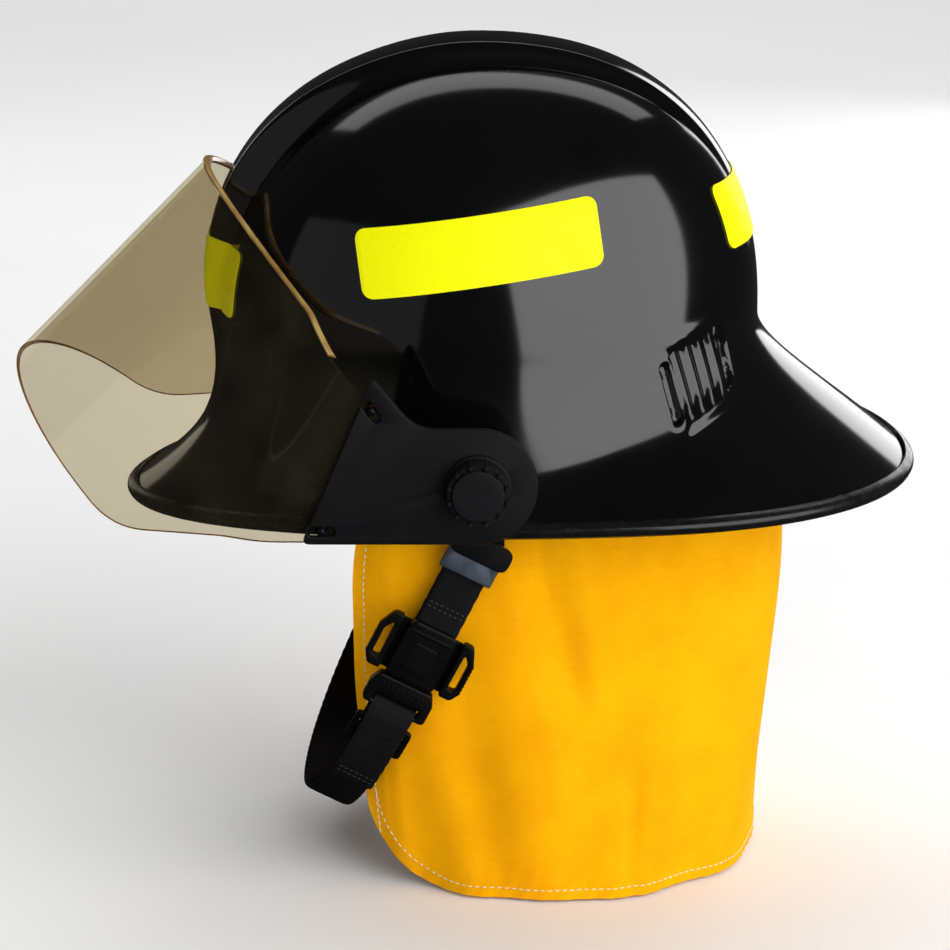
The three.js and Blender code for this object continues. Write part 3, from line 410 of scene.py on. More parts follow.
# ------------------------------------------------------------------ shell, edge trim, reflectors
def outer_shell():
    degrees = np.concatenate([np.arange(0, 62, 0.4), np.arange(62, 152, 1.0), np.arange(152, 180, 0.4)])
    azimuth = np.radians(np.concatenate([degrees, 360 - degrees[:0:-1]]))
    azimuth = np.unique(np.round(azimuth, 6))
    heights = np.concatenate([np.linspace(0.012, DOME.share, 130), np.linspace(DOME.share, 1, 120)[1:]])
    outside = surface(azimuth[None, :], heights[:, None], 0.0, detail=True)
    inside = surface(azimuth[None, :], np.linspace(1, 0.012, 60)[:, None], -SHELL_WALL)
    edge = surface(azimuth[None, :], np.ones((1, 1)), -SHELL_WALL / 2)
    return loft("shell_skin", np.concatenate([outside, edge, inside]), sharp=50)


def edge_trim():
    """A channel gripping the brim's edge, with a rounded nose."""
    azimuth = np.linspace(0, 2 * math.pi, 540, endpoint=False)
    edge = base_points(azimuth, 1.0)
    off = outward(azimuth, 0.999)
    out = unit(edge - base_points(azimuth, 0.985))
    nose = [(-0.6 + 2.4 * math.sin(a), -1.5 + 3.1 * math.cos(a)) for a in np.linspace(0, math.pi, 13)]
    section = [(-4.5, 1.3), (-4.1, 1.62), *nose, (-4.1, -4.62), (-4.5, -4.3), (-4.5, -3.75), (0.3, -3.3),
               (0.3, 0.3), (-4.5, 0.75)]
    rings = np.array([edge + a * out + b * off for a, b in section]).transpose(1, 0, 2)
    return loft("brim_edging", rings, joined=True, sharp=60)


def tape_piece(name, place, length=TAPE.length, low=0.12):
    """A rounded rectangle of tape; place(across, up, offset) puts it on the shell."""
    half_l, half_h, corner = length / 2, TAPE.height / 2, TAPE.corner
    ends = half_l - corner * (1 - np.sin(np.linspace(0, 1, 9) * math.pi / 2))
    across = np.concatenate([-ends[::-1], np.linspace(-half_l + corner, half_l - corner, 61)[1:-1], ends])
    over = np.maximum(0, np.abs(across) - (half_l - corner))
    reach = half_h - corner + np.sqrt(np.maximum(0, corner ** 2 - over ** 2))
    up = np.linspace(-1, 1, 21)[None, :] * reach[:, None]
    wide = np.broadcast_to(across[:, None], up.shape)
    edge = np.maximum(np.abs(wide) / half_l, np.abs(up) / half_h)
    top = low + TAPE.thickness * (1 - 0.5 * smooth(0.97, 1.0, edge))
    return sheet_solid(name, place(wide, up, top), place(wide, up, np.full(up.shape, low)))


def side_tape(side):
    tilt = math.radians(8.3)

    def place(across, up, offset):
        rise = up * 0.93
        y = 1.8 + across * math.cos(tilt) - rise * math.sin(tilt)
        z = 126 + across * math.sin(tilt) + rise * math.cos(tilt)
        return side_point(y, z, offset, side)

    return tape_piece("tape_" + word_of(side), place)


def end_tape(name, azimuth, centre_z, rise, radius, length):
    def place(across, up, offset):
        turned = azimuth + across / radius
        return surface(turned, height_at(turned, centre_z + up * rise), offset)

    return tape_piece(name, place, length, low=0.35)


# ------------------------------------------------------------------ face shield
SLOPE = np.array([0, -math.cos(SHIELD.slope), -math.sin(SHIELD.slope)])
BACK = np.array([0, -SLOPE[2], SLOPE[1]])


def even_curve(depth_at, count):
    """Points of a curve of depth at equal steps of length, as (x, depth)."""
    x = np.arange(0, SHIELD.side_x, 0.25)
    depth = depth_at(x)
    extra = np.arange(depth_at(SHIELD.side_x) + 0.5, 175, 0.5)
    x = np.concatenate([x, np.full(extra.shape, SHIELD.side_x)])
    depth = np.concatenate([depth, extra])
    length = np.concatenate([[0], np.cumsum(np.hypot(np.diff(x), np.diff(depth)))])
    at = np.linspace(0, length[-1], count)
    return np.interp(at, length, x), np.interp(at, length, depth)


SHIELD_COUNT = 121
TOP_X, TOP_DEPTH = even_curve(lambda x: np.hypot(60, 1.27 * x) - 60, SHIELD_COUNT)
LOW_X, LOW_DEPTH = even_curve(lambda x: x * x / 225 + 17 * (x / 110) ** 8, SHIELD_COUNT)


def shield_points(turn, drop):
    """Middle surface of the shield; turn runs from -1 to 1 round it and drop down its slope."""
    turn, drop = np.broadcast_arrays(turn, drop)
    index = np.minimum(np.abs(turn), 1) * (SHIELD_COUNT - 1)
    steps = np.arange(SHIELD_COUNT)
    share = np.maximum(0, drop / SHIELD.length) ** 0.8
    x = np.interp(index, steps, TOP_X) * (1 - share) + np.interp(index, steps, LOW_X) * share
    depth = np.interp(index, steps, TOP_DEPTH) * (1 - share) + np.interp(index, steps, LOW_DEPTH) * share
    y = SHIELD.apex_y + SLOPE[1] * drop + BACK[1] * depth
    z = SHIELD.apex_z + SLOPE[2] * drop + BACK[2] * depth
    ahead = (PLATE.front_y - y) * 0.927 + (z - PLATE.front_z) * 0.376
    blend = smooth(7, 33, ahead)
    x = SHIELD.side_x * (1 - blend) + np.minimum(x, SHIELD.side_x) * blend
    return np.stack([np.sign(turn) * x, y, z], -1)


def shield_out(turn, drop):
    turned = shield_points(turn + 0.004, drop) - shield_points(turn - 0.004, drop)
    down = shield_points(turn, drop + 0.5) - shield_points(turn, np.maximum(0, drop - 0.5))
    return unit(np.cross(down, turned))


def shield_side():
    """Side view of the trimmed shield as (y, z)."""
    def at(depth, drop):
        point = SLOPE * drop + BACK * depth
        return SHIELD.apex_y + point[1], SHIELD.apex_z + point[2]

    corner_depth = (at(0, SHIELD.length)[1] - SHIELD.low_z) / -BACK[2]
    corner = at(corner_depth, SHIELD.length)
    before = at(corner_depth - 14, SHIELD.length)
    after = (corner[0] + 14, corner[1])
    before, corner, after = np.array(before), np.array(corner), np.array(after)
    bend = [tuple(before * (1 - t) ** 2 + corner * 2 * t * (1 - t) + after * t * t)
            for t in np.linspace(0, 1, 9)]
    return [at(-6, SHIELD.length), *bend, (-58, SHIELD.low_z), (-34, 71), (-34, 100), (-90, 170), (-150, 170)]


def prism(name, outline, x0, x1):
    rings = np.array([[(x, y, z) for y, z in outline] for x in (x0, x1)])
    return loft(name, rings)


def face_shield(edge_material, sheet_material):
    turn = np.linspace(-1, 1, 241)[:, None]
    drop = np.linspace(0, SHIELD.length + 2, 56)[None, :]
    middle, out = shield_points(turn, drop), shield_out(turn, drop)
    half = SHIELD.wall / 2
    lens = sheet_solid("shield_sheet", middle + out * half, middle - out * half)
    lens.data.materials.append(sheet_material)
    cutter = prism("shield_trim", shield_side(), -140, 140)
    cutter.data.materials.append(edge_material)
    lens = boolean(lens, cutter, "INTERSECT")
    holes = [lathe("hole", [(0.01, 120), (1.5, 120), (1.5, 140), (0.01, 140)], y, z, side, 24)
             for y, z in STUDS.values() for side in (-1, 1)]
    for hole in holes:
        hole.data.materials.append(edge_material)
    return boolean(lens, joined("holes", holes), "DIFFERENCE")


def shield_lip():
    """A U-shaped beading pushed over the sheet's top edge, ending short of the side plates."""
    end = float(np.interp(84, TOP_DEPTH, np.linspace(0, 1, SHIELD_COUNT)))
    turn = np.linspace(-end, end, 221)
    top = shield_points(turn, 0.0)
    out = shield_out(turn, 0.0)
    up = unit(top - shield_points(turn, 4.0))
    arc = [(1.8 * math.cos(a) + 0.35 * math.cos(3 * a), 1.5 + 1.4 * math.sin(a))
           for a in np.linspace(0, math.pi, 17)]
    section = [(1.6, 0.6), (1.95, 0.9), *arc[1:-1], (-1.95, 0.9), (-1.6, 0.6)]
    rings = np.array([top + a * out + b * up for a, b in section]).transpose(1, 0, 2)
    return loft("shield_beading", rings, sharp=60)


def plate_outline():
    low, high = PIVOT.z - PLATE.radius, PIVOT.z + PLATE.radius
    arc = [(PIVOT.y + PLATE.radius * math.cos(a), PIVOT.z + PLATE.radius * math.sin(a))
           for a in np.linspace(-math.pi / 2, math.pi / 2, 33)]
    waist = [((1 - t) ** 2 * -17 + 2 * t * (1 - t) * -26 + t * t * -31.4,
              (1 - t) ** 2 * high + 2 * t * (1 - t) * (high + 0.4) + t * t * (high + 8))
             for t in np.linspace(0, 1, 9)]
    horn = rounded([(-31.4, high + 8), (-43.2, high + 22.8), (-73.6, low), (-50, low)], 2.6)
    return [*arc, *waist[:-1], (-31.4, high + 8), *horn[7:21]]


def shield_plate(side):
    holes = [oval(PIVOT.y, PIVOT.z, 6.81, 6.8), oval(*STUDS["upper"], 11, 4.2, math.radians(-55)),
             oval(*STUDS["lower"], 12, 4.2)]
    plate = moulded("plate", plate_outline(), PLATE.outer - PLATE.inner, 0.7, holes)
    placed(plate, (0, 1, 0), (0, 0, 1), (side, 0, 0), (side * (PLATE.inner + PLATE.outer) / 2, 0, 0))
    boss = lathe("boss", [(3.4, PLATE.outer - 0.6), (14.6, PLATE.outer - 0.6), (14.4, PLATE.outer + 0.4),
                          (13.8, PLATE.outer + 1.2), (12.8, PLATE.outer + 1.6), (3.4, PLATE.outer + 1.6)],
                 PIVOT.y, PIVOT.z, side)
    return joined("side_plate_" + word_of(side), [plate, boss])


def clamp_knob(side):
    """A flat cap on a deep skirt, with small nubs standing in a ring round the cap."""
    size = KNOB_SIZE
    x0 = PLATE.outer + 1.6 + GAP
    top, skirt_top = x0 + size.depth, x0 + size.skirt_depth
    edge = [(size.cap - 0.9 + 0.9 * math.cos(a), top - 1.0 + 0.9 * math.sin(a))
            for a in np.linspace(0, 1.5, 6)]
    profile = [
        (size.bore, x0 + 4), (size.bore, x0), (size.skirt - 0.3, x0), (size.skirt, x0 + 0.5),
        (size.skirt, skirt_top - 0.6), (size.skirt - 0.5, skirt_top), (size.cap + 0.1, skirt_top),
        (size.cap, skirt_top + 0.2), *edge, (6, top), (0.01, top),
    ]
    nub = [(0.01, x0 + 0.4), (1.05, x0 + 0.4), (1.05, top - 0.6), (0.75, top - 0.1), (0.01, top)]
    parts = [lathe("cap", profile, PIVOT.y, PIVOT.z, side, 96)]
    for i in range(size.nubs):
        a = (i + 0.5) / size.nubs * 2 * math.pi
        y, z = PIVOT.y + size.nub_ring * math.cos(a), PIVOT.z + size.nub_ring * math.sin(a)
        parts.append(lathe("nub", nub, y, z, side, 16))
    return joined("grip_knob_" + word_of(side), parts)


def shield_stud(name, side):
    y, z = STUDS[name]
    inside = SHIELD.side_x - SHIELD.wall / 2 - GAP
    head = PLATE.outer - 1.2
    profile = [
        (0.01, inside - 1.4), (2.6, inside - 1.3), (3.0, inside - 0.9), (3.0, inside), (1.2, inside),
        (1.2, head), (1.95, head), (1.9, head + 0.9), (1.5, head + 1.5), (0.8, head + 1.8),
        (0.01, head + 1.85),
    ]
    return lathe(f"rivet_{name}_{word_of(side)}", profile, y, z, side, 32)


def pivot_mount(side):
    """A spacer between the shell's side and the shield plate; its foot follows the shell."""
    angles = np.arange(72) / 72 * 2 * math.pi

    def ring(radius, x=None, off=0.3):
        y, z = PIVOT.y + radius * np.cos(angles), PIVOT.z + radius * np.sin(angles)
        if x is None:
            return side_point(y, z, off, side)
        return np.stack([np.full(y.shape, side * x), y, z], -1)

    foot = ring(17)
    x = np.abs(foot[:, 0])
    skirt = foot.copy()
    skirt[:, 0] = side * np.clip(x + 2.5, 108, 124)
    barrel = [ring(15.5, 124.5), ring(15, 126.5), ring(15, 131), ring(14.5, 131.5), ring(3.4, 131.5)]
    rings = [ring(3.4), ring(10), foot, skirt, *barrel]
    return loft("spacer_" + word_of(side), rings, joined=True, sharp=35)


# ------------------------------------------------------------------ chin strap
DOWN = np.array([0, -math.sin(STRAP.lean), -math.cos(STRAP.lean)])
WIDE = np.array([0, math.cos(STRAP.lean), -math.sin(STRAP.lean)])
STRAP_TOP = np.array([0, PIVOT.y, STRAP.top_z])


def strap_place(x, down, wide=0.0):
    along = np.multiply.outer(down, DOWN) + np.multiply.outer(wide, WIDE)
    return STRAP_TOP + along + np.multiply.outer(x, [1, 0, 0])


def side_x(down):
    return STRAP.half_span * np.sqrt(1 - (down / STRAP.depth) ** 4)


def resampled(points, step=0.8):
    points = np.asarray(points, float)
    length = np.concatenate([[0], np.cumsum(np.linalg.norm(np.diff(points, axis=0), axis=1))])
    at = np.linspace(0, length[-1], max(8, int(length[-1] / step)))
    return np.stack([np.interp(at, length, points[:, k]) for k in range(2)], -1), at


def webbing_run(name, points, wall=STRAP.wall):
    """Flat woven webbing through (x, down) points: ribbed faces and knobbly selvedges."""
    points, at = resampled(points)
    run = unit(np.gradient(points, axis=0))
    normal = np.stack([-run[:, 1], run[:, 0]], -1)
    half_w, half_t = STRAP.width / 2, wall / 2
    across = np.linspace(-1, 1, 15)
    profile = [(u, 1.0) for u in across] + [(u, -1.0) for u in across[::-1]]
    rings = []
    for (x, down), (nx, nd), along in zip(points, normal, at):
        rib = 0.10 * math.cos(2 * math.pi * along / 1.9)
        knob = 0.22 * math.cos(2 * math.pi * along / 1.9)
        ring = []
        for u, face in profile:
            thin = 1 - 0.45 * max(0.0, (abs(u) - 0.86) / 0.14)
            off = face * half_t * thin + face * rib * (1 - abs(u) ** 6) * math.cos(math.pi * u * 5) ** 2
            wide = u * (half_w - 0.22) + math.copysign(knob, u) * (abs(u) > 0.97)
            ring.append(strap_place(x + nx * off, down + nd * off, wide))
        rings.append(ring)
    return loft(name, rings, sharp=70)


def strap_frame(down, off=0.0):
    """Directions across, up and out of the strap at a place on the wearer's left, and that place."""
    x, x2 = side_x(down), side_x(down - 10)
    here = strap_place(x, down)
    up = unit(strap_place(x2, down - 10) - here)
    out = np.cross(WIDE, up)
    return WIDE, up, out, here + out * off


def on_strap(obj, down, off=0.0):
    return placed(obj, *strap_frame(down, off))


def box_outline(width, height, radius, x=0.0, y=0.0, hole=False):
    w, h = width / 2, height / 2
    points = rounded([(x - w, y - h), (x + w, y - h), (x + w, y + h), (x - w, y + h)], radius)
    return points[::-1] if hole else points


def on_side(side, frame_of_strap):
    """The strap's directions and place on one side."""
    flip = np.array([side, 1, 1])
    return [vector * flip for vector in frame_of_strap]


def strap_ring(side):
    """A flat metal loop: its upper bar is on the hanger's peg and the webbing goes round its lower bar."""
    hole = box_outline(15.4, 7.2, 1.0, hole=True)
    ring = moulded("ring", box_outline(24.6, 19.5, 1.2, 0, -3.6), 2.0, 0.4, [hole])
    return placed(ring, *on_side(side, strap_frame(0.001, 2.9)))


def hanger_tab(side):
    """The rounded end of the hanger, in front of the ring's upper bar."""
    outline = box_outline(27, 11, 4.5, 1.5, 1.0)
    tab = moulded("hanger_tab_" + word_of(side), outline, 1.8, 0.6)
    return placed(tab, *on_side(side, strap_frame(0.001, 5.2)))


def buckle_socket():
    """The upper half, which the webbing loops through and the tongue enters."""
    corners = [(-11.5, -14), (11.5, -14), (11.5, 9), (9.5, 14), (-9.5, 14), (-11.5, 9)]
    body = moulded("socket", rounded(corners, 2.4), 9.0, 1.2)
    mouth = moulded("mouth", box_outline(17, 28, 0.8, 0, -6), 4.6, 0.3)
    body = boolean(body, mouth, "DIFFERENCE")
    bar = moulded("bar", box_outline(19, 1.6, 0.5, 0, 9.4), 9.8, 0.4)
    panel = moulded("panel", rounded([(-7, -9), (7, -9), (5.4, 5), (-5.4, 5)], 2.0), 9.7, 0.35)
    guard = moulded("guard", box_outline(33, 25, 2.2, 0, -1.5), 1.3, 0.35)
    guard.data.transform(Matrix.Translation((0, 0, -3.7 * MM)))
    return on_strap(joined("buckle_upper", [body, bar, panel, guard]), BUCKLE.middle)


def buckle_tongue():
    """The lower half: a ribbed end with a slot for the webbing and a tongue up into the socket."""
    outline = rounded([(-15, -29.8), (15, -29.8), (15, -20), (12.5, -14.9), (-12.5, -14.9), (-15, -20)], 2.4)
    slot = box_outline(21.5, 3.4, 1.0, 0, -26.0, hole=True)
    body = moulded("end", outline, 7.0, 1.1, [slot])
    tongue = moulded("tongue", box_outline(15.6, 20, 1.0, 0, -6.6), 3.4, 0.4)
    ribs = [moulded("rib", box_outline(1.3, 4.6, 0.5, x, -20.2), 7.7, 0.35)
            for x in np.arange(-9.6, 9.7, 2.4)]
    return on_strap(joined("buckle_lower", [body, tongue, *ribs]), BUCKLE.middle)


def buckle_prong(side):
    """A sprung release arm, pinched inwards; its outer edge is ribbed for the fingers."""
    x0, x1 = 14.4, 22.8
    corners = [(x0, -14), (x1 - 2.6, -14), (x1, -9.5), (x1, 5), (19.2, 13), (x0, 13)]
    inner = [(x0 + 2.3, -9), (x1 - 2.6, -9), (x1 - 2.6, 4), (x0 + 2.6, 9)]
    outline = rounded([(side * x, y) for x, y in corners], [1.5, 2.5, 2.5, 4, 3, 1.5])
    hole = rounded([(side * x, y) for x, y in inner], 1.5)
    if side < 0:
        outline = outline[::-1]
        hole = hole[::-1]
    arm = moulded("arm", outline, 5.0, 0.8, [hole[::-1]])
    ribs = [moulded("rib", box_outline(1.0, 1.1, 0.35, side * (x1 - 0.3), y), 4.4, 0.3)
            for y in np.arange(-9, 4.5, 1.9)]
    place = "rear" if side > 0 else "front"
    return on_strap(joined("release_arm_" + place, [arm, *ribs]), BUCKLE.middle)


def strap_slider():
    """A two-bar keeper that the webbing doubles back through."""
    slots = [box_outline(21.4, 2.6, 0.6, 0, y, hole=True) for y in (-2.9, 2.9)]
    frame_piece = moulded("keeper", box_outline(27, 15, 2.5), 2.6, 0.6, slots)
    bars = [moulded("bar", box_outline(21, 1.0, 0.4, 0, y), 3.3, 0.35) for y in (-5.7, 0, 5.7)]
    return on_strap(joined("strap_keeper", [frame_piece, *bars]), SLIDER_DOWN, STRAP.wall / 2 + 1.6)


def strap_stitches(name, down, off, rows, wide=7.5):
    """Rows of thread across the webbing, as short raised stitches."""
    stitches = []
    for row in rows:
        across, up, out, here = strap_frame(down + row, off)
        for u in np.arange(-wide, wide + 0.1, 2.5):
            stitches.append(thread(here + across * (u - 0.9), here + across * (u + 0.9), out, 0.32))
    return many_lofts(name, stitches)


def strap_parts():
    """The three webbing pieces: upper, lower and the loose tail."""
    upper_down = np.linspace(7.5, BUCKLE.top + 3, 12)
    upper = webbing_run("strap_upper_webbing", np.stack([side_x(upper_down), upper_down], -1), wall=3.4)
    end = math.acos((TURN_DOWN / STRAP.depth) ** 2)
    turn = np.linspace(end, -end, 90)
    chin = np.stack([STRAP.half_span * np.sin(turn), STRAP.depth * np.sqrt(np.cos(turn))], -1)
    near_down = np.linspace(BUCKLE.bottom + 2, TURN_DOWN - 3, 10)
    far_down = np.linspace(TURN_DOWN - 3, 10, 30)
    near = np.stack([side_x(near_down), near_down], -1)
    far = np.stack([-side_x(far_down), far_down], -1)
    lower = webbing_run("strap_lower_webbing", np.concatenate([near, chin, far]))
    hang = np.linspace(88, 125, 20)
    loop = [(-3.0, 92), (-4.4, 87), (-4.7, 83.6), (-3.6, 81), (-1.4, 79.8), (1.4, 79.8), (3.6, 80.8),
            (5.2, 83.4)]
    off = np.concatenate([[o for o, _ in loop], 6.6 + 0.9 * smooth(100, 125, hang)])
    tail_down = np.concatenate([[d for _, d in loop], hang])
    tail = np.stack([side_x(tail_down) + off, tail_down], -1)
    return upper, lower, webbing_run("strap_tail_webbing", tail)


# ------------------------------------------------------------------ neck curtain
CURTAIN_REAR = [(-178, 127), (-144, 130), (-104, 134), (-45, 140), (-21, 141), (20, 138), (48, 131)]
CURTAIN_SIDE = [(-178, 90), (-60, 94), (0, 93), (48, 91)]
CURTAIN_FRONT = [(-178, -44), (-135, -49), (-76, -53.5), (-20, -54), (48, -44)]
CURTAIN_TUCK = [(-178, 24), (-120, 24), (-60, 11), (0, 0)]


def at_level(table, z):
    places, values = zip(*table)
    return np.mean([np.interp(z + shift, places, values) for shift in (-9, -3, 3, 9)], axis=0)


def curtain_fold(u, z):
    """How far the hanging cloth swings out in soft folds, growing towards the hem."""
    drop = np.clip((30 - z) / 208, 0, 1) ** 1.3
    waves = (2.2 * np.sin(11.0 * u + 0.6 + 0.5 * np.sin(z / 46)) + 1.6 * np.sin(23 * u - 1.1 + z / 60)
             + 1.2 * np.sin(41 * u + 2.0 - z / 45) * smooth(0.3, 0.8, np.abs(u)))
    dents = (4.0 * np.exp(-((u - 0.60 + z / 2600) / 0.055) ** 2 - ((z + 95) / 38) ** 2)
             - 5.0 * np.exp(-((u - 0.69 - z / 1300) / 0.030) ** 2 - ((z + 48) / 42) ** 2)
             - 3.5 * np.exp(-((u - 0.86 - z / 1800) / 0.045) ** 2 - ((z + 120) / 45) ** 2)
             - 3.0 * np.exp(-((u - 0.52) / 0.022) ** 2 - ((z + 140) / 42) ** 2)
             + 2.6 * np.exp(-((u - 0.30) / 0.05) ** 2 - ((z + 130) / 40) ** 2))
    puckers = 0.22 * np.sin(170 * u + 3 * np.sin(z / 9)) * np.exp(-np.abs(z - hem_z(u)) / 9)
    return waves * drop + dents + puckers


def hem_z(u):
    over = np.maximum(0, np.abs(u) * CURTAIN.half_length - (CURTAIN.half_length - CURTAIN.corner))
    return CURTAIN.hem_z + CURTAIN.corner - np.sqrt(np.maximum(0, CURTAIN.corner ** 2 - over ** 2))


def curtain_points(u, z, offset=0.0):
    """Point of the cloth; u runs from 1 at the left front edge round the nape to -1 at the right."""
    u, z = np.broadcast_arrays(u, z)
    bend, start_y, power = 0.66, 34.0, 2 / 2.3
    half, front = at_level(CURTAIN_SIDE, z), at_level(CURTAIN_FRONT, z)
    rear, tuck = at_level(CURTAIN_REAR, z), at_level(CURTAIN_TUCK, z)
    offset = offset + curtain_fold(u, z)
    share, side = np.abs(u), np.sign(u)
    angle = np.minimum(share / bend, 1) * math.pi / 2
    ahead = np.maximum(0, (share - bend) / (1 - bend))
    curl = 8.0 * smooth(0.93, 1.0, share)
    flank = half + offset - tuck * ahead ** 2 - curl
    x = side * np.where(share > bend, flank, (half + offset) * np.sin(angle) ** power)
    y = np.where(share > bend, start_y + (front - start_y) * ahead,
                 start_y + (rear + offset - start_y) * np.maximum(0, np.cos(angle)) ** power)
    return np.stack([x, y, z + 0 * x], -1)


def neck_curtain():
    """The cloth: one layer, doubled in a hem round its three free edges."""
    even = np.linspace(-1, 1, 401)
    u = (np.sign(even) * (1 - (1 - np.abs(even)) ** 1.25))[:, None]
    share = np.linspace(0, 1, 171)[None, :]
    z = CURTAIN.top_z + (hem_z(u) - CURTAIN.top_z) * share
    from_edge = np.minimum(z - hem_z(u), (1 - np.abs(u)) * CURTAIN.half_length)
    hem = 0.45 * smooth(11, 9.6, from_edge) - 0.18 * np.exp(-((from_edge - CURTAIN.stitch_inset) / 0.7) ** 2)
    outer = curtain_points(u, z, hem)
    inner = curtain_points(u, z, -CURTAIN.wall - hem)
    cloth = sheet_solid("curtain_cloth", outer, inner, sharp=75)
    count = outer.shape[1]
    uv = cloth.data.uv_layers.new(name="weave")
    index = np.empty(len(cloth.data.loops), int)
    cloth.data.loops.foreach_get("vertex_index", index)
    column, row = index // (2 * count), index % (2 * count)
    row = np.where(row < count, row, 2 * count - 1 - row)
    column = np.minimum(column, len(even) - 1)
    across = u[:, 0][column] * CURTAIN.half_length
    level = z[column, row]
    uv.data.foreach_set("uv", (np.stack([across, level], -1) * MM).ravel())
    return cloth


def hem_stitches():
    """White thread in short stitches, inside the hem and the two front edges."""
    inset = CURTAIN.stitch_inset
    edge = 1 - inset / CURTAIN.half_length
    side_z = np.linspace(CURTAIN.top_z, hem_z(np.array(edge)) + 0.5, 160)
    across = np.linspace(edge, -edge, 900)
    path_u = np.concatenate([np.full(side_z.shape, edge), across, np.full(side_z.shape, -edge)])
    path_z = np.concatenate([side_z, hem_z(across / edge) + inset, side_z[::-1]])
    line = curtain_points(path_u, path_z, 0.42)
    lifted = curtain_points(path_u, path_z, 1.42)
    length = np.concatenate([[0], np.cumsum(np.linalg.norm(np.diff(line, axis=0), axis=1))])
    stitches = []
    pitch, stitch = 3.3, 2.3
    for start in np.arange(1, length[-1] - pitch, pitch):
        a, b = ([np.interp(at, length, line[:, k]) for k in range(3)] for at in (start, start + stitch))
        out = np.array([np.interp(start, length, lifted[:, k]) for k in range(3)]) - a
        stitches.append(thread(np.array(a), np.array(b), unit(out), 0.3))
    return many_lofts("curtain_stitching", stitches)


def curtain_band():
    """The tape that holds the curtain's top edge."""
    u = np.linspace(-1, 1, 181)[:, None]
    z = np.linspace(CURTAIN.top_z, CURTAIN.top_z - 20, 9)[None, :]
    edge = 0.5 * smooth(0.8, 1, np.abs(np.linspace(-1, 1, 9)))[None, :]
    outer = curtain_points(u, z, -2.2 - edge * 0.3)
    return sheet_solid("curtain_tape", outer, curtain_points(u, z, -3.7 + edge * 0.3), sharp=70)


# ------------------------------------------------------------------ inside: liner, straps, headband
def liner_points(azimuth, angle, inset):
    power = 2 / dome_power(azimuth)
    radius = dome_radius(azimuth, inset) * np.maximum(0, np.cos(angle)) ** power
    z = DOME.centre_z + (DOME.height - inset) * np.sin(angle) ** power
    return np.stack([radius * np.sin(azimuth), DOME.centre_y + radius * np.cos(azimuth), z], -1)


def impact_liner():
    """Foam shell with a rounded foot and shallow ribs inside."""
    azimuth = np.linspace(0, 2 * math.pi, 180, endpoint=False)[None, :]
    angle = np.radians(np.linspace(88, 0, 60))[:, None]
    outer = liner_points(azimuth, angle, 5.0)
    ribs = 1.1 * smooth(0.2, 0.8, np.cos(azimuth * 12) ** 2) * smooth(84, 70, np.degrees(angle))
    inner = liner_points(azimuth, angle[::-1], 22.0 - ribs[::-1])
    mid = (liner_points(azimuth, np.zeros((1, 1)), 5.0) + liner_points(azimuth, np.zeros((1, 1)), 22.0)) / 2
    half = liner_points(azimuth, np.zeros((1, 1)), 5.0) - mid
    foot = []
    for a in np.linspace(0, math.pi, 9):
        ring = mid + half * math.cos(a)
        ring[..., 2] = 55.5 - 3.4 * math.sin(a)
        foot.append(ring)
    return loft("liner_foam_shell", np.concatenate([outer, *foot, inner]), sharp=60)


def crown_strap(name, reach, rise, across):
    drop, rings = 34.0, []
    angle = np.linspace(0, math.pi, 90)
    run = np.concatenate([np.full(16, reach), reach * np.cos(angle), np.full(16, -reach)])
    level = np.concatenate([np.linspace(-drop, -1, 16), rise * np.sin(angle), np.linspace(-1, -drop, 16)])
    path = np.stack([run, level], -1)
    tangent = unit(np.gradient(path, axis=0))
    for i, ((out, up), (tx, tz)) in enumerate(zip(path, tangent)):
        rib = 0.08 * math.cos(2 * math.pi * i / 2)
        ring = []
        for u, face in [(u, 1) for u in np.linspace(-1, 1, 9)] + [(u, -1) for u in np.linspace(1, -1, 9)]:
            thick = face * (0.6 - 0.25 * (abs(u) > 0.9) + rib * (abs(u) < 0.9))
            a, z, w = out + tz * thick, DOME.centre_z + up - tx * thick, u * 10
            ring.append((a, w, z) if across else (w, DOME.centre_y + a, z))
        rings.append(ring)
    return loft(name, rings, sharp=70)


def band_piece(name, half_width, y, depth, arm_y, section, spread=90, steps=72):
    """Sweeps a section of (off, z) points round half the head; off grows inwards."""
    angle = np.radians(np.linspace(-spread, spread, steps))
    x, at = half_width * np.sin(angle), y + depth * np.cos(angle)
    normal = unit(np.stack([np.sin(angle) * abs(depth), np.cos(angle) * half_width * np.sign(depth)], -1))
    if arm_y is not None:
        arm = np.linspace(arm_y, y, 9)[:-1]
        x = np.concatenate([np.full(8, -half_width), x, np.full(8, half_width)])
        at = np.concatenate([arm, at, arm[::-1]])
        normal = np.concatenate([np.tile([-1, 0], (8, 1)), normal, np.tile([1, 0], (8, 1))])
    rings = []
    for i in range(len(x)):
        share = i / (len(x) - 1)
        ring = []
        for off, z in (section(share) if callable(section) else section):
            ring.append((x[i] - normal[i, 0] * off, at[i] - normal[i, 1] * off, z))
        rings.append(ring)
    return loft(name, rings, sharp=60)


def band_section(low, high, wall=1.8):
    """A strip with a raised bead along both edges."""
    bead = 0.35
    outer = [(0, low + 0.6), (0, low + 1.8), (bead, low + 2.4), (bead, high - 2.4), (0, high - 1.8),
             (0, high - 0.6)]
    inner = [(wall, high - 0.6), (wall, low + 0.6)]
    return [(0.5, low), *outer, (0.5, high), (wall - 0.5, high), *inner, (wall - 0.5, low)]


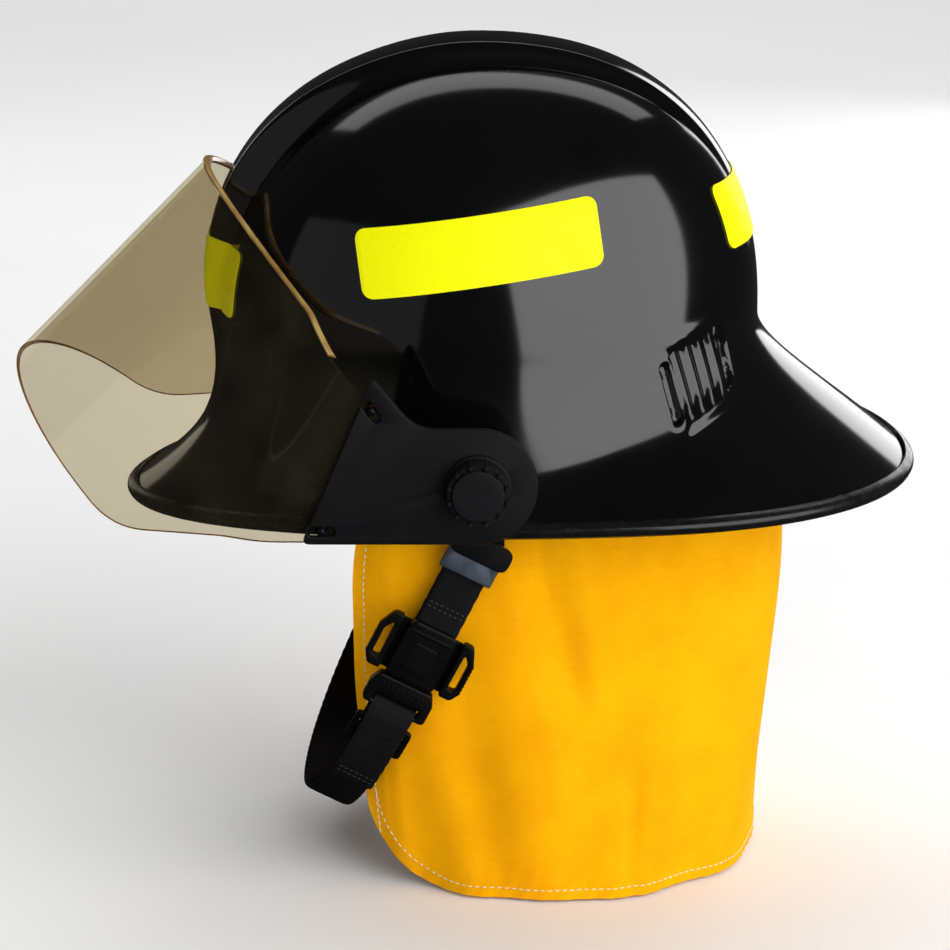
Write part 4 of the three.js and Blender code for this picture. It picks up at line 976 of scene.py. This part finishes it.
def pad_section(low, high, thick, share):
    """A crowned pad: full in the middle, thin at its edges, pinched along sewn lines."""
    sewn = min(abs(share - s) for s in (0.0, 0.2, 0.4, 0.6, 0.8, 1.0))
    full = 0.35 + 0.65 * min(1.0, sewn / 0.035) ** 0.5
    points = []
    for a in np.linspace(-math.pi / 2, math.pi / 2, 15):
        crown = math.cos(a) ** 0.6
        points.append((0.6 + (thick - 0.6) * full * crown, (low + high) / 2 + (high - low) / 2 * math.sin(a)))
    return [(0.2, low + 1.0), *points, (0.2, high - 1.0)]


def ratchet_knob():
    """A finger knob with ten lobes and a dished face, on a short shaft."""
    angles = np.arange(160) / 160 * 2 * math.pi
    lobes = np.cos(10 * angles)
    y0 = 113.3
    steps = [
        (14.5, 0.0, 1.0), (15.6, 0.3, 1.0), (16.9, 1.6, 1.2), (16.9, 9.6, 1.2), (15.9, 11.0, 1.0),
        (14.6, 11.8, 0.7), (12.5, 12.0, 0.2), (11.4, 11.2, 0.0), (6.0, 10.9, 0.0), (0.05, 10.9, 0.0),
    ]
    rings = []
    for radius, y, depth in steps:
        wavy = radius + depth * lobes
        rings.append(np.stack([wavy * np.cos(angles), np.full(160, y0 + y), 20 + wavy * np.sin(angles)], -1))
    shaft = [np.stack([4 * np.cos(angles), np.full(160, y), 20 + 4 * np.sin(angles)], -1)
             for y in (103.5, y0)]
    tip = shaft[0] * [0.01, 1, 0.01] + [0, 0, 19.8]
    return loft("ratchet_grip", np.array([tip, *shaft, *rings]), sharp=35)


def ratchet_housing():
    body = moulded("housing", box_outline(68, 26, 9), 14.6, 1.6, [oval(0, 0, 8.61, 8.6)])
    grip = [moulded("grip", box_outline(1.4, 12, 0.6, x, 0), 15.2, 0.4)
            for x in (-29, -26.2, -23.4, 23.4, 26.2, 29)]
    body = joined("ratchet_case", [body, *grip])
    return placed(body, (1, 0, 0), (0, 0, 1), (0, 1, 0), (0, 105.7, 20))


# ------------------------------------------------------------------ materials
class Look:
    """A material's node tree round one Principled shader, with object coordinates in metres."""

    def __init__(self, name, color, roughness, metallic=0.0, **settings):
        self.material = bpy.data.materials.new(name)
        self.material.use_nodes = True
        self.tree = self.material.node_tree
        self.shader = self.tree.nodes["Principled BSDF"]
        self.set("Base Color", (*color, 1))
        self.set("Roughness", roughness)
        self.set("Metallic", metallic)
        for socket, value in settings.items():
            self.set(socket.replace("_", " "), value)
        self.coords = self.tree.nodes.new("ShaderNodeTexCoord").outputs["Object"]
        self.color = color

    def set(self, socket, value):
        self.shader.inputs[socket].default_value = value

    def link(self, a, b):
        self.tree.links.new(a, b)

    def node(self, kind, **values):
        node = self.tree.nodes.new(kind)
        for key, value in values.items():
            setattr(node, key, value)
        return node

    def noise(self, scale, detail=3.0, stretch=None, coords=None):
        coords = coords or self.coords
        if stretch:
            mapping = self.node("ShaderNodeMapping")
            mapping.inputs["Scale"].default_value = stretch
            self.link(coords, mapping.inputs["Vector"])
            coords = mapping.outputs["Vector"]
        noise = self.node("ShaderNodeTexNoise")
        noise.inputs["Scale"].default_value = scale
        noise.inputs["Detail"].default_value = detail
        self.link(coords, noise.inputs["Vector"])
        return noise.outputs["Fac"]

    def cells(self, scale):
        cells = self.node("ShaderNodeTexVoronoi")
        cells.inputs["Scale"].default_value = scale
        self.link(self.coords, cells.inputs["Vector"])
        return cells.outputs["Distance"]

    def bands(self, scale, direction, coords, distortion=0.5):
        wave = self.node("ShaderNodeTexWave", bands_direction=direction)
        wave.inputs["Scale"].default_value = scale
        wave.inputs["Distortion"].default_value = distortion
        wave.inputs["Detail"].default_value = 1.5
        self.link(coords, wave.inputs["Vector"])
        return wave.outputs["Fac"]

    def spread(self, value, low, high, start=0.3, stop=0.7):
        """Maps a value's start..stop to low..high."""
        place = self.node("ShaderNodeMapRange")
        for socket, number in (("From Min", start), ("From Max", stop), ("To Min", low), ("To Max", high)):
            place.inputs[socket].default_value = number
        self.link(value, place.inputs["Value"])
        return place.outputs["Result"]

    def math(self, operation, a, b):
        node = self.node("ShaderNodeMath", operation=operation)
        for socket, value in zip(node.inputs, (a, b)):
            if isinstance(value, (int, float)):
                socket.default_value = value
            else:
                self.link(value, socket)
        return node.outputs[0]

    def vary_roughness(self, value, low, high, start=0.3, stop=0.7):
        self.link(self.spread(value, low, high, start, stop), self.shader.inputs["Roughness"])

    def vary_color(self, value, other, start=0.35, stop=0.65):
        mix = self.node("ShaderNodeMix", data_type="RGBA")
        self.link(self.spread(value, 0, 1, start, stop), mix.inputs["Factor"])
        mix.inputs["A"].default_value = (*self.color, 1)
        mix.inputs["B"].default_value = (*other, 1)
        self.link(mix.outputs["Result"], self.shader.inputs["Base Color"])

    def bump(self, height, distance, strength=1.0):
        bump = self.node("ShaderNodeBump")
        bump.inputs["Strength"].default_value = strength
        bump.inputs["Distance"].default_value = distance
        self.link(height, bump.inputs["Height"])
        self.link(bump.outputs["Normal"], self.shader.inputs["Normal"])
        return self


def gloss_shell():
    look = Look("shell_gloss", (0.0007, 0.0007, 0.0008), 0.05, Specular_IOR_Level=0.8)
    dust = look.noise(2600, 2.0)
    haze = look.noise(14, 4.0)
    rough = look.math("ADD", look.spread(haze, 0.08, 0.13), look.spread(dust, 0.0, 0.15, 0.72, 0.80))
    look.link(rough, look.shader.inputs["Roughness"])
    look.vary_color(haze, (0.0012, 0.0012, 0.0013))
    return look.bump(look.noise(38, 1.0), 0.00006, 0.5).material


def edging():
    look = Look("edging_black", (0.002, 0.002, 0.0022), 0.22)
    look.vary_roughness(look.noise(180), 0.16, 0.34)
    look.vary_color(look.noise(60), (0.0035, 0.0035, 0.004))
    return look.bump(look.noise(900), 0.00003, 0.6).material


def reflective_tape():
    color = (0.80, 0.80, 0.002)
    # Painted glow: the emission makes the tape give out a faint yellow light of its own so that it reads
    # brighter, though the tape is no lamp.
    look = Look("tape_yellow_painted_glow", color, 0.4, Specular_IOR_Level=0.12, Emission_Strength=0.16)
    look.set("Emission Color", (0.86, 0.86, 0.0, 1))
    cells = look.cells(620)
    look.vary_color(cells, (0.76, 0.77, 0.002), 0.2, 0.7)
    look.vary_roughness(look.noise(90), 0.34, 0.5)
    return look.bump(cells, 0.00005, 0.35).material


def moulded_black(name, color=(0.0022, 0.0023, 0.0027), rough=(0.40, 0.52), grain=0.00005, scale=2100):
    """Spark-textured moulded plastic."""
    look = Look(name, color, rough[0], Specular_IOR_Level=0.14)
    look.vary_roughness(look.noise(55, 4.0), *rough)
    look.vary_color(look.noise(22, 4.0), tuple(c * 1.5 for c in color))
    return look.bump(look.noise(scale, 2.0), grain, 0.7).material


def woven_webbing():
    look = Look("webbing_black", (0.0011, 0.0011, 0.0012), 0.78, Specular_IOR_Level=0.15)
    yarn = look.noise(1500, 3.0, stretch=(1, 0.35, 1))
    look.vary_color(yarn, (0.0042, 0.0042, 0.0046))
    look.vary_roughness(yarn, 0.62, 0.88)
    return look.bump(look.math("ADD", yarn, look.cells(900)), 0.00022, 0.7).material


def curtain_cloth():
    color = (0.95, 0.435, 0.0015)
    look = Look("curtain_cloth", color, 0.88, Specular_IOR_Level=0.04)
    uv = look.node("ShaderNodeUVMap", uv_map="weave").outputs["UV"]
    warp = look.bands(400, "X", uv, 1.2)
    weft = look.bands(400, "Y", uv, 1.2)
    weave = look.math("MULTIPLY", warp, weft)
    slub = look.noise(600, 3.0, stretch=(0.25, 1, 1), coords=uv)
    mottle = look.noise(34, 4.0)
    mixed = look.math("ADD", look.math("MULTIPLY", slub, 0.25), look.math("MULTIPLY", mottle, 0.75))
    mixed = look.math("ADD", mixed, look.math("MULTIPLY", weave, 0.10))
    look.vary_color(mixed, (0.87, 0.355, 0.0012), 0.40, 0.75)
    look.vary_roughness(slub, 0.8, 0.95)
    height = look.math("ADD", look.math("MULTIPLY", weave, 1.0), look.math("MULTIPLY", slub, 0.7))
    return look.bump(height, 0.00016, 0.75).material


def white_thread():
    look = Look("thread_white", (0.86, 0.80, 0.62), 0.7)
    look.vary_color(look.noise(2200), (0.70, 0.62, 0.42))
    return look.bump(look.noise(3000), 0.0001, 0.6).material


def black_thread():
    look = Look("thread_black", (0.008, 0.009, 0.011), 0.55)
    look.vary_color(look.noise(2200), (0.022, 0.024, 0.028))
    return look.bump(look.noise(3000), 0.0001, 0.6).material


def liner_foam():
    look = Look("liner_foam", (0.028, 0.028, 0.031), 0.85)
    beads = look.cells(330)
    look.vary_color(beads, (0.014, 0.014, 0.016), 0.2, 0.7)
    return look.bump(beads, 0.0004, 0.6).material


def pad_cloth():
    look = Look("pad_cloth", (0.016, 0.016, 0.019), 0.9, Sheen_Weight=0.4, Sheen_Roughness=0.5)
    knit = look.cells(1100)
    look.vary_color(knit, (0.034, 0.034, 0.040), 0.2, 0.6)
    return look.bump(knit, 0.0002, 0.7).material


def zinc_steel():
    look = Look("zinc_steel", (0.10, 0.12, 0.15), 0.32, 1.0)
    brushed = look.noise(420, 3.0, stretch=(1, 0.06, 0.06))
    look.vary_roughness(brushed, 0.24, 0.44)
    look.vary_color(look.noise(130, 4.0), (0.17, 0.20, 0.25))
    return look.bump(brushed, 0.00003, 0.5).material


def amber_edge():
    look = Look("lens_edge", (0.30, 0.145, 0.035), 0.2, Coat_Weight=0.4)
    look.vary_color(look.noise(160), (0.19, 0.085, 0.02))
    look.vary_roughness(look.noise(400), 0.14, 0.3)
    return look.material


def amber_beading():
    look = Look("lens_beading", (0.42, 0.29, 0.085), 0.16, Coat_Weight=0.6, Coat_Roughness=0.05)
    look.vary_color(look.noise(90, 4.0, stretch=(0.3, 1, 1)), (0.24, 0.13, 0.035))
    look.vary_roughness(look.noise(300), 0.12, 0.26)
    return look.bump(look.noise(500), 0.00005, 0.4).material


def amber_sheet():
    """Clear amber plastic: it tints what lies behind it and mirrors more at a glancing angle."""
    look = Look("lens_amber", (0.81, 0.775, 0.655), 0.03)
    tree = look.tree
    tree.nodes.remove(look.shader)
    clear = look.node("ShaderNodeBsdfTransparent")
    clear.inputs["Color"].default_value = (0.79, 0.75, 0.645, 1)
    gloss = look.node("ShaderNodeBsdfGlossy")
    gloss.inputs["Color"].default_value = (1, 1, 1, 1)
    look.link(look.spread(look.noise(45, 4.0), 0.015, 0.05), gloss.inputs["Roughness"])
    haze = look.node("ShaderNodeBsdfDiffuse")
    haze.inputs["Color"].default_value = (0.60, 0.52, 0.36, 1)
    veil = look.node("ShaderNodeMixShader")
    look.link(look.spread(look.noise(30, 5.0), 0.002, 0.010), veil.inputs["Fac"])
    look.link(clear.outputs[0], veil.inputs[1])
    look.link(haze.outputs[0], veil.inputs[2])
    fresnel = look.node("ShaderNodeFresnel")
    fresnel.inputs["IOR"].default_value = 1.45
    mix = look.node("ShaderNodeMixShader")
    look.link(look.math("MULTIPLY", fresnel.outputs[0], 0.10), mix.inputs["Fac"])
    look.link(veil.outputs[0], mix.inputs[1])
    look.link(gloss.outputs[0], mix.inputs[2])
    look.link(mix.outputs[0], tree.nodes["Material Output"].inputs["Surface"])
    return look.material


def pale_floor():
    look = Look("floor_pale", (0.86, 0.86, 0.86), 0.9)
    look.vary_color(look.noise(3), (0.84, 0.84, 0.84))
    return look.material


SHELL_BLACK = gloss_shell()
EDGING = edging()
TAPE_YELLOW = reflective_tape()
BRACKET = moulded_black("bracket_black", (0.0020, 0.0022, 0.0027))
KNOB = moulded_black("knob_black", (0.0022, 0.0022, 0.0030), (0.46, 0.60), 0.00007, 1500)
BUCKLE_BLACK = moulded_black("buckle_black", (0.0010, 0.0010, 0.0011), (0.30, 0.42), 0.00003)
HEADGEAR = moulded_black("headgear_black", (0.016, 0.016, 0.017), (0.38, 0.50))
STUD_BLACK = moulded_black("stud_black", (0.0015, 0.0015, 0.002), (0.08, 0.16), 0.00001)
WEBBING = woven_webbing()
CLOTH = curtain_cloth()
WHITE_THREAD = white_thread()
BLACK_THREAD = black_thread()
FOAM = liner_foam()
PAD = pad_cloth()
ZINC = zinc_steel()
LENS_EDGE = amber_edge()
BEADING = amber_beading()
AMBER = amber_sheet()


# ------------------------------------------------------------------ putting it together
def add(piece, material, body, slot, *nodes):
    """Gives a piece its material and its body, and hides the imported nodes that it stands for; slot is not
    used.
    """
    if material:
        piece.data.materials.clear()
        piece.data.materials.append(material)
    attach(piece, body)
    if nodes:
        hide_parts(*nodes)
    return piece


def finish_node(node, material):
    """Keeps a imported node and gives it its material."""
    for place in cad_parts[node].material_slots:
        place.material = material


def build_shell():
    add(outer_shell(), SHELL_BLACK, "shell", "shell_gloss", "outer_shell")
    add(edge_trim(), EDGING, "shell", "edge_trim", "edge_trim")
    add(side_tape(1), TAPE_YELLOW, "shell", "reflective_tape", "reflector_left")
    add(side_tape(-1), TAPE_YELLOW, "shell", "reflective_tape", "reflector_right")
    front = end_tape("tape_front", math.pi, 98, 0.95, 121, 88)
    add(front, TAPE_YELLOW, "shell", "reflective_tape", "reflector_front")
    rear = end_tape("tape_rear", 0.0, 130, 0.88, 121, TAPE.length)
    add(rear, TAPE_YELLOW, "shell", "reflective_tape", "reflector_rear")


def build_inside():
    add(impact_liner(), FOAM, "shell", "liner_foam", "impact_liner")
    add(crown_strap("crown_web_long", 93, 88, False), WEBBING, "shell", "webbing", "crown_strap_long")
    add(crown_strap("crown_web_cross", 75, 85, True), WEBBING, "shell", "webbing", "crown_strap_cross")
    for side in ("left", "right", "front", "rear"):
        finish_node("suspension_key_" + side, HEADGEAR)
    front = band_piece("headband_front_strip", 77, -6, -88, 34, band_section(4, 34))
    add(front, HEADGEAR, "shell", "headgear_plastic", "headband_front")
    rear = band_piece("headband_rear_strip", 74, 44, 54, 8, band_section(7, 31))
    add(rear, HEADGEAR, "rear_band", "headgear_plastic", "headband_rear")
    brow = band_piece("brow_cushion", 74.8, -6, -85.8, None,
                      lambda share: pad_section(1, 36, 5, share), 62, 160)
    add(brow, PAD, "shell", "pad", "brow_pad")
    nape = band_piece("nape_cushion", 71.6, 44, 51.6, None,
                      lambda share: pad_section(4, 34, 5, share), 40, 120)
    add(nape, PAD, "rear_band", "pad", "nape_pad")
    add(ratchet_housing(), HEADGEAR, "rear_band", "headgear_plastic", "ratchet_housing")
    add(ratchet_knob(), KNOB, "ratchet", "knob_black", "ratchet_knob")


def build_shield():
    add(face_shield(LENS_EDGE, AMBER), None, "visor", "lens", "face_shield")
    add(shield_lip(), BEADING, "visor", "lens_lip", "shield_lip")
    for side in (1, -1):
        word = word_of(side)
        add(shield_plate(side), BRACKET, "visor", "bracket_black", "shield_plate_" + word)
        add(clamp_knob(side), KNOB, "knob_" + word, "knob_black", "clamp_knob_" + word)
        for name in STUDS:
            add(shield_stud(name, side), STUD_BLACK, "visor", "stud_black", f"shield_stud_{name}_{word}")
        add(pivot_mount(side), BRACKET, "shell", "bracket_black", "pivot_mount_" + word)
        finish_node("pivot_bolt_" + word, ZINC)
        finish_node("pivot_washer_" + word, KNOB)
        finish_node("strap_hanger_" + word, BRACKET)


def build_strap():
    upper, lower, tail = strap_parts()
    add(upper, WEBBING, "chin_strap", "webbing", "strap_upper")
    add(lower, WEBBING, "chin_strap", "webbing", "strap_lower")
    add(tail, WEBBING, "chin_strap", "webbing", "strap_tail")
    for side in (1, -1):
        word = word_of(side)
        add(strap_ring(side), ZINC, "chin_strap", "zinc_steel", "strap_ring_" + word)
        add(hanger_tab(side), BRACKET, "shell", "bracket_black")
    add(buckle_socket(), BUCKLE_BLACK, "chin_strap", "knob_black", "buckle_socket")
    add(buckle_tongue(), BUCKLE_BLACK, "chin_strap", "knob_black", "buckle_tongue")
    add(buckle_prong(1), BUCKLE_BLACK, "prong_rear", "knob_black", "buckle_prong_rear")
    add(buckle_prong(-1), BUCKLE_BLACK, "prong_front", "knob_black", "buckle_prong_front")
    add(strap_slider(), BUCKLE_BLACK, "chin_strap", "knob_black", "strap_slider")
    add(strap_stitches("stitches_tail", 116, 7.7, (0, 2.2)), BLACK_THREAD, "chin_strap", "webbing")
    add(strap_stitches("stitches_upper", 30, 1.95, (0, 2.2)), BLACK_THREAD, "chin_strap", "webbing")


def build_curtain():
    cloth = add(neck_curtain(), CLOTH, "shell", "curtain_cloth", "neck_curtain")
    add(hem_stitches(), WHITE_THREAD, "shell", "curtain_cloth")
    add(curtain_band(), WEBBING, "shell", "webbing", "curtain_band")
    return cloth


def build_stage():
    size, floor_z = 9.0, CURTAIN.hem_z * MM - 0.0015
    half = size / 2
    mesh = bpy.data.meshes.new("floor")
    corners = [(x * half, y * half, floor_z) for x, y in ((-1, -1), (1, -1), (1, 1), (-1, 1))]
    mesh.from_pydata(corners, [], [(0, 1, 2, 3)])
    floor = bpy.data.objects.new("floor", mesh)
    bpy.context.collection.objects.link(floor)
    floor.data.materials.append(pale_floor())
    floor.visible_glossy = False


def add_camera():
    away = Vector((math.cos(CAMERA.elevation), 0, math.sin(CAMERA.elevation)))
    data = bpy.data.cameras.new("camera")
    data.sensor_width = 36
    data.lens = data.sensor_width * CAMERA.distance / (CAMERA.metres_per_pixel * CAMERA.pixels)
    camera = bpy.data.objects.new("camera", data)
    camera.location = away * CAMERA.distance
    camera.rotation_euler = away.to_track_quat("Z", "Y").to_euler()
    bpy.context.collection.objects.link(camera)
    bpy.context.scene.camera = camera
    bpy.context.scene.view_settings.view_transform = "Standard"


def softbox(name, azimuth, elevation, distance, size, glow, mirrored=True, aim=(0, 0, 0)):
    """A panel that faces aim from a direction; azimuth 0 is +X and 90 is +Y, and glow sets its brightness."""
    data = bpy.data.lights.new(name, "AREA")
    data.shape = "RECTANGLE"
    data.size, data.size_y = size
    data.energy = glow * math.pi * size[0] * size[1]
    light = bpy.data.objects.new(name, data)
    turn, rise = math.radians(azimuth), math.radians(elevation)
    away = Vector((math.cos(turn) * math.cos(rise), math.sin(turn) * math.cos(rise), math.sin(rise)))
    light.location = Vector(aim) + away * distance
    light.rotation_euler = away.to_track_quat("Z", "Y").to_euler()
    light.visible_camera = False
    light.visible_glossy = mirrored
    bpy.context.collection.objects.link(light)


def add_lights():
    world = bpy.data.worlds.new("studio")
    world.use_nodes = True
    world.node_tree.nodes["Background"].inputs["Color"].default_value = (0.92, 0.96, 1, 1)
    world.node_tree.nodes["Background"].inputs["Strength"].default_value = 0.03
    bpy.context.scene.world = world
    for i, share in enumerate((1.0, 0.94, 0.88)):
        softbox(f"main_panel_{i}", 43, 18, 1.75, (2.6 * share, 2.2 * share), 2.2)
    softbox("front_panel", -52, 12, 1.8, (2.4, 1.5), 0.15)
    softbox("crown_panel", 182, 53, 1.75, (2.2, 0.5), 1.1)
    softbox("rear_panel", 154, 10, 1.9, (0.6, 0.9), 2.5)
    softbox("brow_panel", -152, 10, 1.9, (0.35, 0.9), 0.8)
    softbox("overhead", 180, 64, 3.4, (5.5, 5.0), 0.9, mirrored=False)
    softbox("far_floor", 0, 90, 2.6, (4.0, 6.0), 0.9, mirrored=False, aim=(-3.4, 0, 0))
    softbox("near_fill", -20, 15, 2.3, (1.4, 1.0), 0.12, mirrored=False)


add_camera()
build_shell()
build_inside()
build_shield()
build_strap()
curtain_piece = build_curtain()
build_stage()
add_lights()
